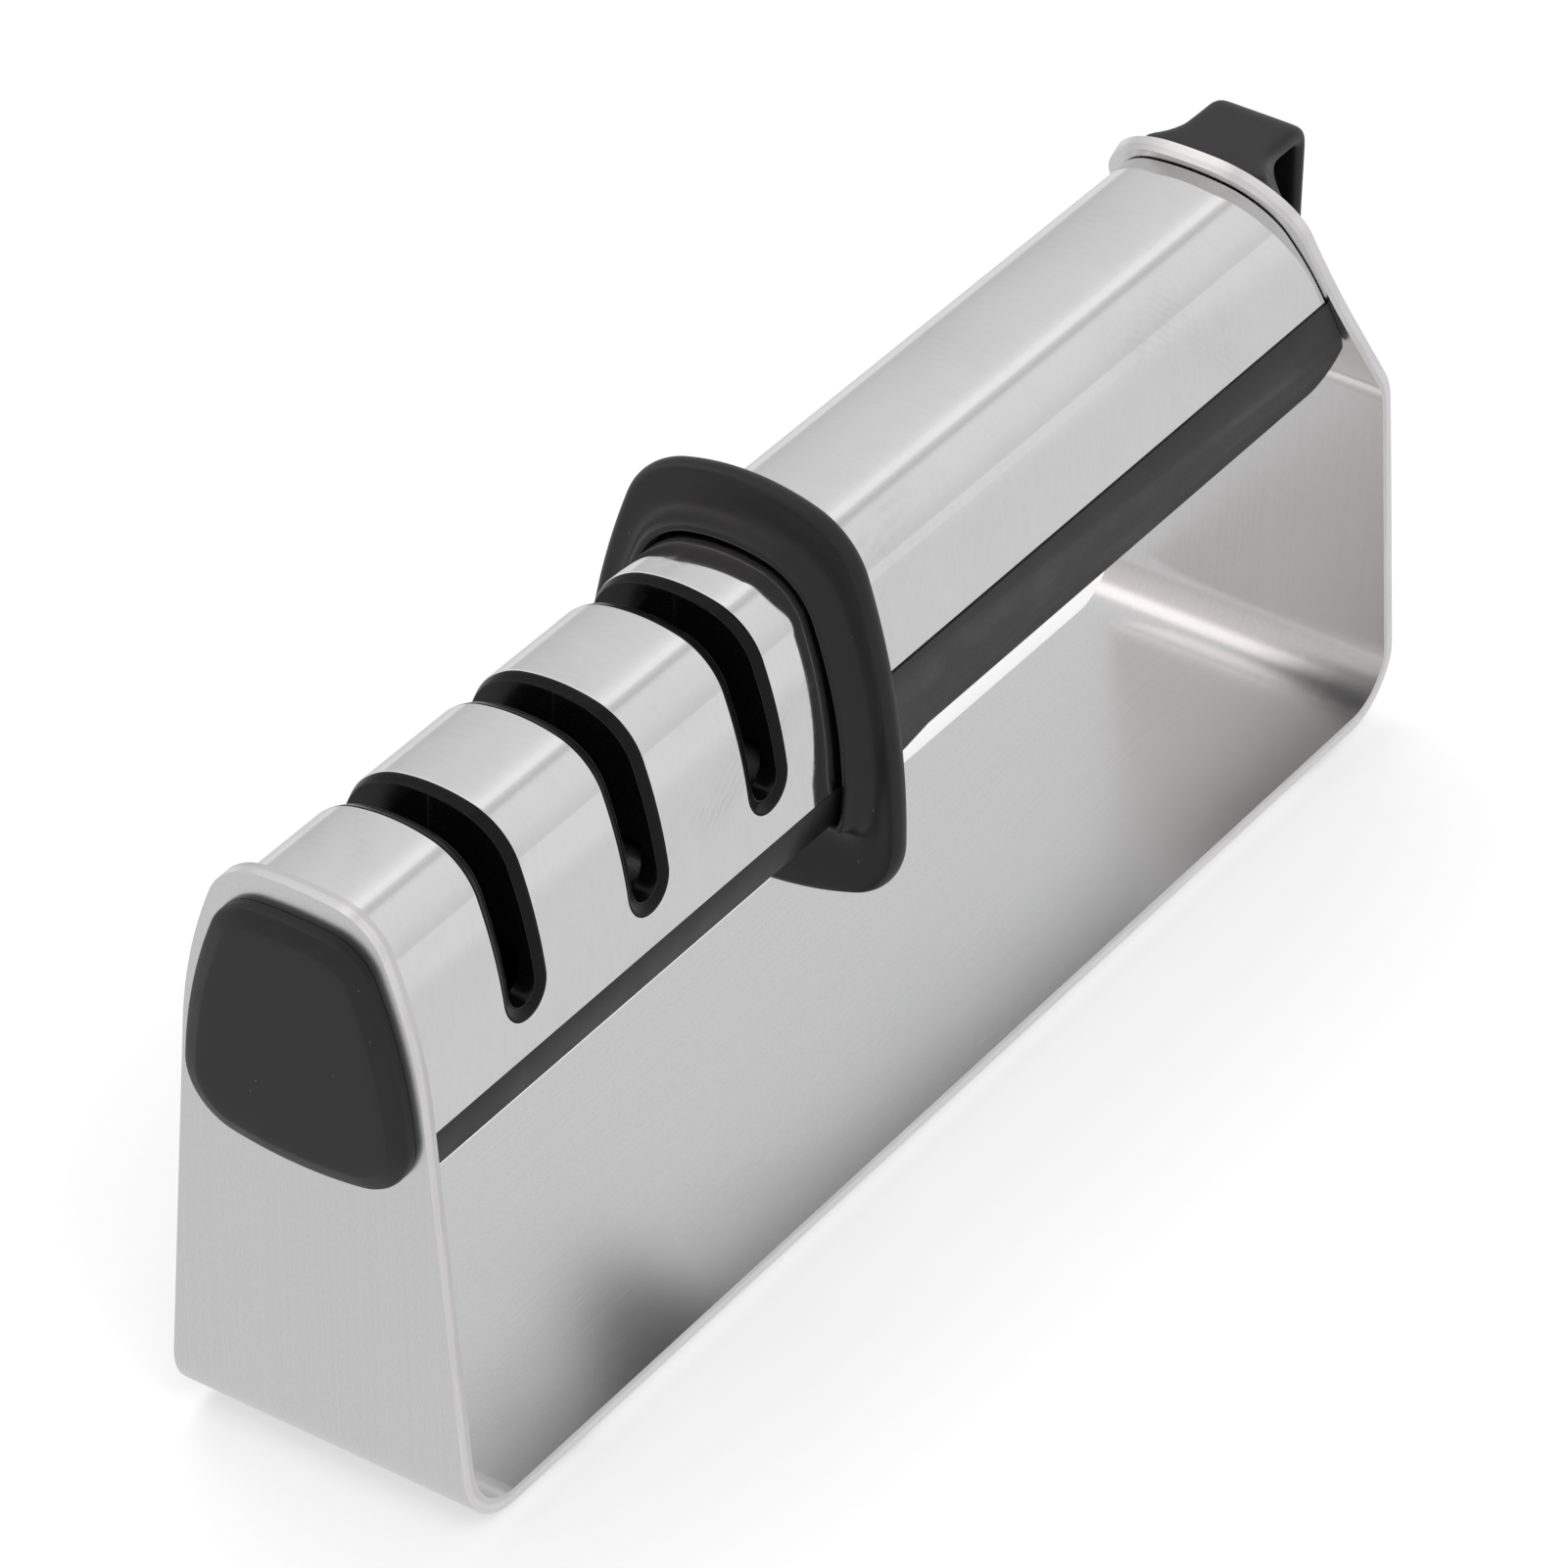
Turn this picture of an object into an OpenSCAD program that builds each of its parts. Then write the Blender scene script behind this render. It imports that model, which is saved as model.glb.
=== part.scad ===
// Pull through knife sharpener on a bent steel stand.
// X runs along the stand from the slotted head to the hang loop, Y across it and Z up.
// The origin is at the middle of the whole object's box, at the bottom.

/* [Stand] */
// Length of the stand where the two legs meet the bench
base_len = 205; // [198:1:215]
// Width of the flat base plate
base_w = 42; // [40:0.5:46]
// Thickness of the sheet
strap_t = 2; // [1.6:0.1:2.4]
// Outer radius of the two lower bends
bend_r = 9.6; // [7:0.2:12]
// Outward slope of both legs, in degrees
splay = 1.6; // [0:0.2:2.4]
// Height of the front leg above the underside of the base plate
front_leg_h = 85.7; // [85.2:0.1:88]
// Height at which the rear leg is bent inward
kink_h = 47; // [44:0.5:48]
// Outer radius of that bend
kink_r = 7; // [4:0.5:9]
// Length of the rear leg, measured along the bent sheet
rear_leg_len = 93; // [91:0.1:95]
// Angle of the upper rear leg from upright, in degrees
rear_lean = 29.6; // [27:0.2:31]
// Radius of a foot
foot_r = 5.5; // [4:0.5:6.5]
// Thickness of a foot
foot_t = 1.5; // [1:0.1:2.5]
// Distance of the front feet from the front end of the base plate
front_foot_x = 22.6; // [18:0.2:30]
// Distance of the rear feet from the rear end of the base plate
rear_foot_x = 15.6; // [15:0.2:25]
// Distance of a foot's edge from the edge of the base plate
foot_inset = 0.9; // [0.5:0.1:3]

/* [Leg outlines] */
// Radius of the front leg's top edge
leg_crown_r = 51; // [40:1:70]
// Radius of the front leg's shoulders
leg_shoulder_r = 8; // [7:0.1:9]
// Radius of the front leg's bowed sides
leg_side_r = 71; // [66:1:80]
// Radius of the rear leg's top edge
rear_crown_r = 38; // [30:1:50]
// Radius of the rear leg's shoulders
rear_shoulder_r = 12; // [11:0.1:13]
// Radius of the rear leg's hollow sides
rear_waist_r = 225; // [200:5:260]
// Radius of the rear leg's bowed lower sides
rear_side_r = 300; // [260:5:340]

/* [Head] */
// Height of the head's top above the underside of the base plate
head_h = 84.5; // [84.2:0.1:85]
// Thickness of both polished shells
shell_t = 0.8; // [0.6:0.05:1]
// Radius of the head's top
head_crown_r = 23; // [21:0.5:27]
// Radius of the head's shoulders
head_shoulder_r = 9.2; // [8.8:0.1:9.6]
// Radius of the head's bowed sides
head_side_r = 64; // [60:1:66]
// Height of the head shell's lower edge
head_shell_low = 56.5; // [56:0.1:57.5]
// Height of the underside of the head's black lip
lip_low = 51.5; // [50.5:0.1:52.5]
// Inward slope of the lip's sides, in degrees
lip_lean = 4; // [2:0.5:6]

/* [Knife slots] */
// Number of sharpening slots
slot_count = 3; // [3:1:3]
// Distance of the first slot's centre from the front end of the base plate
slot_first = 19.7; // [19:0.1:20.6]
// Distance from one slot's centre to the next
slot_pitch = 24.1; // [23.6:0.05:24.6]
// Width of a slot in the polished shell
slot_w = 8.1; // [7.7:0.1:8.4]
// Width of the clear slot inside its black lining
slot_clear_w = 5; // [4.6:0.1:5.2]
// Height of the slots' rounded lower ends
slot_low = 61; // [60.2:0.1:61.2]

/* [Guard] */
// Distance of the guard's flange from the front end of the base plate
guard_x = 84.1; // [83:0.1:85]
// Thickness of the guard's flange
guard_t = 2.8; // [2.2:0.1:3.4]
// Height of the guard's top
guard_h = 92.3; // [91.6:0.1:93]
// Radius of the guard's top
guard_crown_r = 31.5; // [29:0.5:34]
// Radius of the guard's shoulders
guard_shoulder_r = 11.5; // [11:0.1:12]
// Radius of the guard's bowed sides
guard_side_r = 110; // [106:1:116]
// Radius of the guard's lower corners
guard_corner_r = 9.7; // [9.2:0.1:10.2]
// Length of the collar in front of the flange
collar_len = 3; // [2.4:0.1:4]
// Wall of the collar at its front edge
collar_t = 1; // [0.8:0.1:1.6]
// Gap between the collar and the head
collar_gap = 1.1; // [0.8:0.1:1.5]

/* [Handle] */
// Height of the handle's top above the underside of the base plate
handle_h = 84.5; // [84:0.1:85.2]
// Radius of the handle's top
handle_crown_r = 25; // [23:0.5:28]
// Radius of the handle's shoulders
handle_shoulder_r = 9.4; // [9:0.1:10]
// Radius of the handle's bowed sides
handle_side_r = 52; // [48:1:58]
// Height of the handle shell's lower edge
handle_shell_low = 64; // [63:0.1:65]
// Gap between the handle shell and the rear leg
handle_end_gap = 1; // [0.6:0.1:1.4]
// Width of the handle's black lower body
grip_w = 28.6; // [28.2:0.1:29.2]
// Height of the crease along the lower body
grip_crease = 55; // [54:0.1:56]
// Width of the lower body's underside
grip_under_w = 25; // [23:0.1:26]
// Height of the lower body's underside
grip_low = 49.7; // [49:0.1:51]
// Depth of the step in the underside behind the guard
grip_step = 1.5; // [1:0.1:2]
// Distance of that step from the front end of the base plate
grip_step_x = 102; // [98:0.5:108]
// Length of the ramp from that step to the underside
grip_ramp_len = 4.5; // [3:0.1:6]
// Radius of the lower body's rear corner
grip_end_r = 5; // [3:0.5:6]

/* [Front cap] */
// Distance by which the cap stands out from the front leg
cap_t = 2.5; // [2:0.1:3]
// Height of the cap's top
cap_h = 82; // [81:0.1:83]
// Height of the cap's lower corners
cap_low = 48.1; // [46:0.1:50]
// Distance of the cap's sides from the leg's edges
cap_inset = 1.2; // [0.8:0.1:1.8]
// Radius of the cap's lower corners
cap_corner_r = 8; // [7:0.1:9]
// Slope of the cap's bowed lower edge at its corners, in degrees
cap_bow = 10; // [6:1:14]
// Radius of the cap's rounded edge
cap_edge = 1.4; // [1:0.1:1.6]

/* [Hang loop] */
// Width of the loop
loop_w = 12.2; // [11.6:0.2:13.6]
// Height of the loop's top above the rear leg's bend
loop_rise = 37.6; // [36.5:0.1:38.4]
// Distance of the loop's outer face from the rear leg's bend
loop_setback = 5.4; // [4.6:0.1:6]
// Radius by which the loop's sides flare out to the leg
loop_flare_r = 7; // [6:0.5:9]
// Width that the flare adds on each side at the leg
loop_flare = 2.6; // [2:0.2:4]
// Thickness of the loop's outer wall
loop_wall = 1.8; // [1.6:0.1:2]
// Thickness of the loop's top
loop_top_t = 2.3; // [2:0.1:2.5]
// Radius of the loop's upper corner
loop_corner_r = 3.2; // [2:0.1:4]
// Width of the hanging hole along its top
loop_hole_w = 7.2; // [7:0.1:7.6]
// Height of the hanging hole
loop_hole_h = 14.4; // [13.5:0.1:15]
// Radius of the hanging hole's corners
loop_hole_r = 0.9; // [0.5:0.1:1.2]

/* [Sharpening stages] */
// Height of the line where the knife's edge runs
edge_h = 64; // [63.8:0.1:64.4]
// Radius of a sharpening wheel
wheel_r = 5; // [4.9:0.05:5.1]
// Thickness of a sharpening wheel
wheel_t = 1.2; // [1:0.05:1.25]
// Distance from one wheel of a pack to the next
wheel_pitch = 3; // [3:0.05:3.1]
// Number of wheels in the front pack of a stage
front_wheels = 5; // [3:2:5]
// Number of wheels in the rear pack of a stage
rear_wheels = 4; // [2:2:4]
// Distance of an axle from the slot's centre
axle_offset = 4.7; // [4.6:0.05:4.75]
// Radius of an axle
axle_r = 1.5; // [1.2:0.1:1.5]
// Radius of the hub that carries a pack's wheels
hub_r = 2.4; // [2.2:0.1:2.5]
// Depth to which an axle sits in the core
axle_seat = 1.4; // [1:0.1:1.5]
// Width of a carbide blade
carbide_w = 3.5; // [3:0.1:3.7]
// Length of a carbide blade
carbide_len = 9.2; // [8.6:0.1:9.3]
// Thickness of a carbide blade
carbide_t = 1.5; // [1.2:0.1:1.6]
// Angle of each carbide blade from upright, in degrees
carbide_lean = 25; // [22:1:27]
// Thickness of each cheek of the carbide holder
cheek_t = 2.4; // [2:0.1:3]
// Depth of the holder's top below the line of the knife's edge
holder_drop = 2.4; // [1.8:0.1:3]
// Radius of the carbide screw's shank
carbide_screw_r = 1; // [0.8:0.1:1.1]
// Radius of the carbide screw's head and nut
carbide_head_r = 2; // [1.6:0.1:2.2]
// Height of the carbide screw's head and nut
carbide_head_t = 1; // [0.8:0.1:1.4]

/* [Screws] */
// Radius of the core screws' shanks
core_screw_r = 1.25; // [1:0.05:1.4]
// Radius of the core screws' heads
core_head_r = 2.4; // [2.1:0.1:2.6]
// Height of the core screws
core_screw_h = 73.6; // [73:0.1:74]
// Radius of the leg screws' shanks
leg_screw_r = 1.4; // [1.2:0.05:1.6]
// Radius of the leg screws' heads
leg_head_r = 2.4; // [2.1:0.1:2.6]
// Height of the leg screws' heads
leg_head_t = 1.2; // [1:0.1:1.4]
// Length of a leg screw inside the core
leg_screw_depth = 5; // [4:0.1:6]

/* [Hidden] */

// Clearance between pieces that are pushed together
fit = 0.05;
// Radial clearance between an axle and its hub
running_fit = 0.05;
// Gap left round a moving piece
free_gap = 0.3;
// Overrun of every cut past the face that it opens
over = 1;
// Depth of the slot linings' edge below the polished shell's face
lining_drop = 0.6;
// Gap between a slot's lining and the edge of the polished shell
lining_gap = 0.1;
// Overlap of the rear leg's two halves at its bend
kink_overlap = 0.02;
// Greatest angle between two points of a rounded outline
arc_step = 4;
// Number of sides of the small cylinders and of the feet
rod_sides = 48;
foot_sides = 64;

black = [0.13, 0.13, 0.13];
polished = [0.86, 0.86, 0.87];
steel = [0.6, 0.6, 0.62];

// Angles, from straight up, at which one arc of an outline passes into the next
leg_degs = [6, 68.5, 85.5];
rear_degs = [5, 88.5, 82.2, 85];
head_degs = [13, 68.5, 85.5];
guard_degs = [17, 70.6, 89.4, 159.5];
handle_degs = [12, 75.3, 88];

leg_arcs = [[leg_crown_r, leg_degs[0]], [leg_shoulder_r, leg_degs[1]], [leg_side_r, leg_degs[2]]];
rear_arcs = [
    [rear_crown_r, rear_degs[0]],
    [rear_shoulder_r, rear_degs[1]],
    [-rear_waist_r, rear_degs[2]],
    [rear_side_r, rear_degs[3]]
];
head_arcs = [[head_crown_r, head_degs[0]], [head_shoulder_r, head_degs[1]], [head_side_r, head_degs[2]]];
guard_arcs = [
    [guard_crown_r, guard_degs[0]],
    [guard_shoulder_r, guard_degs[1]],
    [guard_side_r, guard_degs[2]],
    [guard_corner_r, guard_degs[3]]
];
handle_arcs = [
    [handle_crown_r, handle_degs[0]],
    [handle_shoulder_r, handle_degs[1]],
    [handle_side_r, handle_degs[2]]
];

// Direction at an angle from straight up
function heading(deg) = [sin(deg), cos(deg)];

// Points of one arc between two angles
function arc_points(centre, r, from_deg, to_deg) =
    let (steps = max(1, ceil(abs(to_deg - from_deg) / arc_step)))
    [for (i = [1:steps]) centre + r * heading(from_deg + (to_deg - from_deg) * i / steps)];

// Centre of arc i in a chain of arcs that starts at the top of the outline
function arc_centre(top, arcs, i) =
    i == 0 ? [0, top - arcs[0][0]]
    : arc_centre(top, arcs, i - 1) + (arcs[i - 1][0] - arcs[i][0]) * heading(arcs[i - 1][1]);

// Points of a whole chain, drawn in by an inset
function chain(top, arcs, inset = 0) = [
    [0, top - inset],
    for (i = [0:len(arcs) - 1])
        let (from_deg = i == 0 ? 0 : arcs[i - 1][1])
        each arc_points(arc_centre(top, arcs, i), arcs[i][0] - inset, from_deg, arcs[i][1])
];

// A chain that runs straight on to a lower height
function side_line(top, arcs, low, inset = 0) =
    let (points = chain(top, arcs, inset))
    let (end = points[len(points) - 1])
    let (slope = heading(arcs[len(arcs) - 1][1] + 90))
    concat(points, [end + slope * (low - end[1]) / slope[1]]);

// A right-hand outline and its mirror image as one ring
function both_sides(points) = concat(
    points,
    [for (i = [len(points) - 1:-1:0]) if (points[i][0] > 0) [-points[i][0], points[i][1]]]
);

// The same for an outline along X, mirrored across the middle plane
function both_sides_y(points) = concat(
    points,
    [for (i = [len(points) - 1:-1:0]) [points[i][0], -points[i][1]]]
);

// A closed outline whose last arc comes back to the middle at the bottom
function closed_ring(top, arcs, inset = 0) =
    let (last = len(arcs) - 1)
    let (centre = arc_centre(top, arcs, last))
    let (deg = arcs[last][1])
    let (bottom_r = arcs[last][0] + centre[0] / sin(deg))
    let (all_arcs = concat(arcs, [[bottom_r, 180]]))
    let (points = chain(top, all_arcs, inset))
    both_sides([for (p = points) [max(p[0], 0), p[1]]]);

// Ring of points with each corner rounded to its own radius
function rounded(corners, radii) = [
    for (i = [0:len(corners) - 1])
        let (before = corners[(i + len(corners) - 1) % len(corners)])
        let (after = corners[(i + 1) % len(corners)])
        each corner_points(before, corners[i], after, radii[i])
];

function unit(v) = v / norm(v);

// Centre of the arc that rounds corner b between its neighbours a and c
function corner_centre(a, b, c, r) =
    let (to_a = unit(a - b), to_c = unit(c - b))
    b + unit(to_a + to_c) * r / sin(acos(to_a * to_c) / 2);

// Points of that arc
function corner_points(a, b, c, r) =
    r == 0 ? [b]
    : let (to_a = unit(a - b), to_c = unit(c - b))
      let (half = acos(to_a * to_c) / 2)
      let (centre = corner_centre(a, b, c, r))
      let (from_v = b + to_a * r / tan(half) - centre, to_v = b + to_c * r / tan(half) - centre)
      let (steps = max(1, ceil((180 - 2 * half) / (2 * arc_step))))
      [for (i = [0:steps]) centre + r * unit(from_v * (1 - i / steps) + to_v * (i / steps))];

// Places along X, measured from the front end of the base plate
guard_back_x = guard_x + guard_t;
collar_x = guard_x - collar_len;
head_end_x = guard_x - free_gap;
function slot_x(i) = slot_first + slot_pitch * i;

// Outer faces of the legs at a height, and their inner faces
function front_outer_at(h) = -h * tan(splay);
function front_inner_at(h) = front_outer_at(h) + strap_t / cos(splay);
kink_x = base_len + kink_h * tan(splay);
function rear_outer_at(h) = h < kink_h ? base_len + h * tan(splay) : kink_x - (h - kink_h) * tan(rear_lean);
function rear_inner_at(h) = rear_outer_at(h) - strap_t / cos(h < kink_h ? splay : rear_lean);
kink_inner_h = kink_h + strap_t * (1 / cos(splay) - 1 / cos(rear_lean)) / (tan(splay) + tan(rear_lean));

// Half widths where the sections end
head_half_w = side_line(head_h, head_arcs, head_shell_low)[len(chain(head_h, head_arcs))][0];
lip_half_w = head_half_w - (head_shell_low - lip_low) * tan(lip_lean);
tall = 2 * guard_h;
wide = 2 * base_w;

// Farthest points of the cap in front and of the bend behind
front_reach = (cap_t - cap_edge) * cos(splay) + (cap_h - cap_edge) * sin(splay) + cap_edge;
kink_centre = corner_centre([base_len, 0], [kink_x, kink_h], [rear_outer_at(tall), tall], kink_r);
rear_reach = kink_centre[0] + kink_r;

// Sharpening chamber under each slot
wheel_axis_h = edge_h - sqrt(wheel_r * wheel_r - axle_offset * axle_offset);
chamber_half_x = axle_offset + wheel_r + 2 * free_gap;
chamber_half_y = 12.4;
chamber_low = wheel_axis_h - wheel_r - 2 * free_gap;
chamber_high = wheel_axis_h + wheel_r + 2 * free_gap;

// Moves a piece from the base plate's front end and underside to its place in the object's frame
module placed() {
    translate([(front_reach - rear_reach) / 2, 0, foot_t]) children();
}

// Frame of the sloping front leg, whose outer face is at zero
module on_front_leg() {
    rotate([0, -splay, 0]) children();
}

// Frame at the rear leg's bend, sloping outward by an angle
module at_kink(slope) {
    translate([kink_x, 0, kink_h]) rotate([0, slope, 0]) children();
}

// Extrudes an outline drawn across the object along X
module along_x(from_x, length) {
    translate([from_x, 0, 0]) rotate([90, 0, 90]) linear_extrude(length) children();
}

// Extrudes an outline drawn along the object over a width
module along_y(width) {
    rotate([90, 0, 0]) linear_extrude(width, center = true) children();
}

// Cylinder along Y, centred on the middle plane unless it starts at from_y
module rod_y(x, h, r, from_y, length) {
    translate([x, from_y, h]) rotate([-90, 0, 0]) cylinder(h = length, r = r, $fn = rod_sides);
}

// Side view of the bent strip
module strap_side() {
    ring = [
        [front_outer_at(tall), tall], [0, 0], [base_len, 0], [kink_x, kink_h], [rear_outer_at(tall), tall],
        [rear_inner_at(tall), tall], [rear_inner_at(kink_inner_h), kink_inner_h],
        [rear_inner_at(strap_t), strap_t], [front_inner_at(strap_t), strap_t], [front_inner_at(tall), tall]
    ];
    radii = [
        0, bend_r, bend_r, kink_r, 0,
        0, kink_r - strap_t,
        bend_r - strap_t, bend_r - strap_t, 0
    ];
    polygon(rounded(ring, radii));
}

// Outlines of the legs laid flat, from below the base plate up
module front_leg_outline() {
    polygon(both_sides(side_line(front_leg_h, leg_arcs, -bend_r)));
}

module rear_leg_outline() {
    polygon(both_sides(side_line(rear_leg_len, rear_arcs, -bend_r)));
}

// Everything above the plane that halves the rear leg's bend, or from a little below it
module above_kink(overlap) {
    at_kink((splay - rear_lean) / 2) translate([-tall, -base_w, -overlap]) cube([2 * tall, wide, tall]);
}

module base_strap() {
    color("silver") placed() difference() {
        intersection() {
            along_y(base_w) strap_side();
            union() {
                on_front_leg() along_x(-over, 2 * bend_r) front_leg_outline();
                translate([bend_r, -base_w, 0]) cube([base_len - 2 * bend_r, wide, bend_r]);
                difference() {
                    translate([base_len, 0, 0]) rotate([0, splay, 0])
                        along_x(-2 * bend_r, 2 * bend_r + over) rear_leg_outline();
                    above_kink(0);
                }
                intersection() {
                    at_kink(-rear_lean) translate([0, 0, -kink_h / cos(splay)])
                        along_x(-2 * bend_r, 2 * bend_r + over) rear_leg_outline();
                    above_kink(kink_overlap);
                }
            }
        }
        front_leg_screw_places() rod_hole(leg_screw_r + fit, strap_t);
        rear_leg_screw_places() rod_hole(leg_screw_r + fit, strap_t);
    }
}

// Hole along the local X axis through a sheet whose outer face is at zero
module rod_hole(r, depth) {
    translate([over, 0, 0]) rotate([0, -90, 0]) cylinder(h = depth + 2 * over, r = r, $fn = rod_sides);
}

foot_y = base_w / 2 - foot_inset - foot_r;

module foot(x, side) {
    color(black) placed()
        translate([x, side * foot_y, -foot_t]) cylinder(h = foot_t, r = foot_r, $fn = foot_sides);
}

module foot_front_left() foot(front_foot_x, -1);
module foot_front_right() foot(front_foot_x, 1);
module foot_rear_left() foot(base_len - rear_foot_x, -1);
module foot_rear_right() foot(base_len - rear_foot_x, 1);

// Section of the head, drawn in by an inset, down to the shell's lower edge
module head_section(inset) {
    polygon(both_sides(side_line(head_h, head_arcs, head_shell_low, inset)));
}

module handle_section(inset) {
    polygon(both_sides(side_line(handle_h, handle_arcs, handle_shell_low, inset)));
}

// Side view of a slot: upright sides and a round lower end
module slot_side(width, low) {
    translate([-width / 2, low + width / 2]) square([width, tall]);
    translate([0, low + width / 2]) circle(d = width, $fn = rod_sides);
}

// The three slots cut right across the head
module slots(width, low) {
    for (i = [0:slot_count - 1])
        translate([slot_x(i), 0, 0]) along_y(wide) slot_side(width, low);
}

// Side view of everything behind a line parallel to the front leg, up to a place along X
module behind_front_leg(gap, end_x) {
    front = gap / cos(splay);
    polygon([
        [front_inner_at(0) + front, 0], [end_x, 0], [end_x, tall], [front_inner_at(tall) + front, tall]
    ]);
}

module head_shell() {
    color(polished) placed() difference() {
        intersection() {
            along_x(-strap_t, 2 * guard_x)
                difference() {
                    head_section(0);
                    translate([0, -over]) head_section(shell_t);
                    head_section(shell_t);
                }
            along_y(wide) behind_front_leg(fit, head_end_x);
        }
        slots(slot_w, slot_low);
    }
}

// Side view of everything in front of a line parallel to the slanted rear leg
module before_rear_leg(gap, low, corner_r) {
    back = gap / cos(rear_lean);
    polygon(rounded(
        [
            [guard_back_x, low], [rear_inner_at(low) - back, low],
            [rear_inner_at(tall) - back, tall], [guard_back_x, tall]
        ],
        [0, corner_r, 0, 0]
    ));
}

module handle_shell() {
    color(polished) placed() intersection() {
        along_x(guard_back_x + fit, base_len)
            difference() {
                handle_section(0);
                translate([0, -over]) handle_section(shell_t);
                handle_section(shell_t);
            }
        along_y(wide) before_rear_leg(handle_end_gap, lip_low, 0);
    }
}

// Lip along the bottom of the head
module lip_section() {
    polygon([
        [head_half_w, head_shell_low], [-head_half_w, head_shell_low],
        [-lip_half_w, lip_low], [lip_half_w, lip_low]
    ]);
}

// Lower body of the handle, with a crease along each side
module grip_section() {
    low_slope = (grip_w - grip_under_w) / (grip_crease - grip_low);
    step_w = grip_under_w - grip_step * low_slope;
    polygon([
        [grip_w / 2, handle_shell_low], [-grip_w / 2, handle_shell_low], [-grip_w / 2, grip_crease],
        [-step_w / 2, grip_low - grip_step], [step_w / 2, grip_low - grip_step], [grip_w / 2, grip_crease]
    ]);
}

// Side view of the handle's core: stepped underside and slanted, rounded rear end
module grip_side() {
    before_rear_leg(fit, grip_low, grip_end_r);
    polygon([
        [guard_back_x, grip_low - grip_step], [grip_step_x, grip_low - grip_step],
        [grip_step_x + grip_ramp_len, grip_low], [grip_step_x, grip_crease], [guard_back_x, grip_crease]
    ]);
}

// One lengthwise half of the moulded body; side is -1 for the left half and 1 for the right
module core_half(side) {
    color(black) placed() intersection() {
        translate([-strap_t, side < 0 ? -wide : 0, 0]) cube([base_len, wide, tall]);
        difference() {
            union() {
                intersection() {
                    along_x(-strap_t, 2 * guard_x) {
                        head_section(shell_t + fit);
                        lip_section();
                    }
                    along_y(wide) behind_front_leg(fit, guard_back_x);
                }
                slot_linings();
                intersection() {
                    along_x(guard_back_x, base_len) {
                        handle_section(shell_t + fit);
                        grip_section();
                    }
                    along_y(wide) grip_side();
                }
            }
            slots(slot_clear_w, slot_low + (slot_w - slot_clear_w) / 2);
            for (i = [0:slot_count - 1])
                translate([slot_x(i) - chamber_half_x, -chamber_half_y, chamber_low])
                    cube([2 * chamber_half_x, 2 * chamber_half_y, chamber_high - chamber_low]);
            axle_bores(side);
            core_screw_holes();
            front_leg_screw_places() rod_hole(leg_screw_r, strap_t + leg_screw_depth);
            rear_leg_screw_places() rod_hole(leg_screw_r, strap_t + leg_screw_depth);
        }
    }
}

// Blind bores for the axles, from the chambers outward
module axle_bores(side) {
    bore_y = side * chamber_half_y - axle_seat;
    for (i = [1:slot_count - 1], s = [-1, 1])
        rod_y(slot_x(i) + s * axle_offset, wheel_axis_h, axle_r + fit, bore_y, 2 * axle_seat);
}

// Black bands that line the slots, just below the face of the polished shell
module slot_linings() {
    intersection() {
        along_x(strap_t, head_end_x - strap_t) head_section(lining_drop);
        slots(slot_w - 2 * lining_gap, slot_low + lining_gap);
    }
}

module core_left() core_half(-1);
module core_right() core_half(1);

// Places of the screws along Y that hold the halves together, under the polished shells
grip_screw_shares = [0.16, 0.45, 0.74];
core_screw_xs = concat(
    [for (i = [0:slot_count - 2]) slot_x(i) + slot_pitch / 2],
    [for (s = grip_screw_shares) guard_back_x + s * (base_len - guard_back_x)]
);
core_head_t = 1.4;
core_screw_reach = 8;
core_head_y = 9.8;

module core_screws() {
    color(steel) placed()
        for (x = core_screw_xs) {
            rod_y(x, core_screw_h, core_screw_r, -core_screw_reach, core_screw_reach + core_head_y);
            rod_y(x, core_screw_h, core_head_r, core_head_y, core_head_t);
        }
}

module core_screw_holes() {
    for (x = core_screw_xs) {
        rod_y(
            x, core_screw_h, core_screw_r + fit,
            -core_screw_reach - fit, core_screw_reach + core_head_y + over
        );
        rod_y(x, core_screw_h, core_head_r + fit, core_head_y, base_w / 2 - core_head_y);
    }
}

// Frames of the screws through the front leg, with local X pointing out of the leg
front_screw_hs = [60, 75];
front_screw_y = 6;
module front_leg_screw_places() {
    for (s = [-1, 1], h = front_screw_hs)
        on_front_leg() translate([0, s * front_screw_y, h]) rotate([0, 0, 180]) children();
}

// Frames of the screws through the slanted rear leg, with local X pointing out of the leg
rear_screw_rise = 23;
rear_screw_h = kink_h + rear_screw_rise;
rear_screw_y = 3.4;
module rear_leg_screw_places() {
    for (s = [-1, 1])
        translate([rear_outer_at(rear_screw_h), s * rear_screw_y, rear_screw_h])
            rotate([0, -rear_lean, 0]) children();
}

module leg_screw() {
    translate([leg_head_t + fit, 0, 0]) rotate([0, -90, 0]) {
        cylinder(h = leg_head_t, r = leg_head_r, $fn = rod_sides);
        cylinder(h = leg_head_t + strap_t + leg_screw_depth, r = leg_screw_r - fit, $fn = rod_sides);
    }
}

// Room for a screw's head in the piece that covers it
module leg_head_recess() {
    translate([-over, 0, 0]) rotate([0, 90, 0])
        cylinder(h = leg_head_t + fit + over, r = leg_head_r + fit, $fn = rod_sides);
}

module front_leg_screws() {
    color(steel) placed() front_leg_screw_places() leg_screw();
}

module rear_leg_screws() {
    color(steel) placed() rear_leg_screw_places() leg_screw();
}

// Outline of the guard, drawn in by an inset
module guard_outline(inset) {
    polygon(closed_ring(guard_h, guard_arcs, inset));
}

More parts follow.
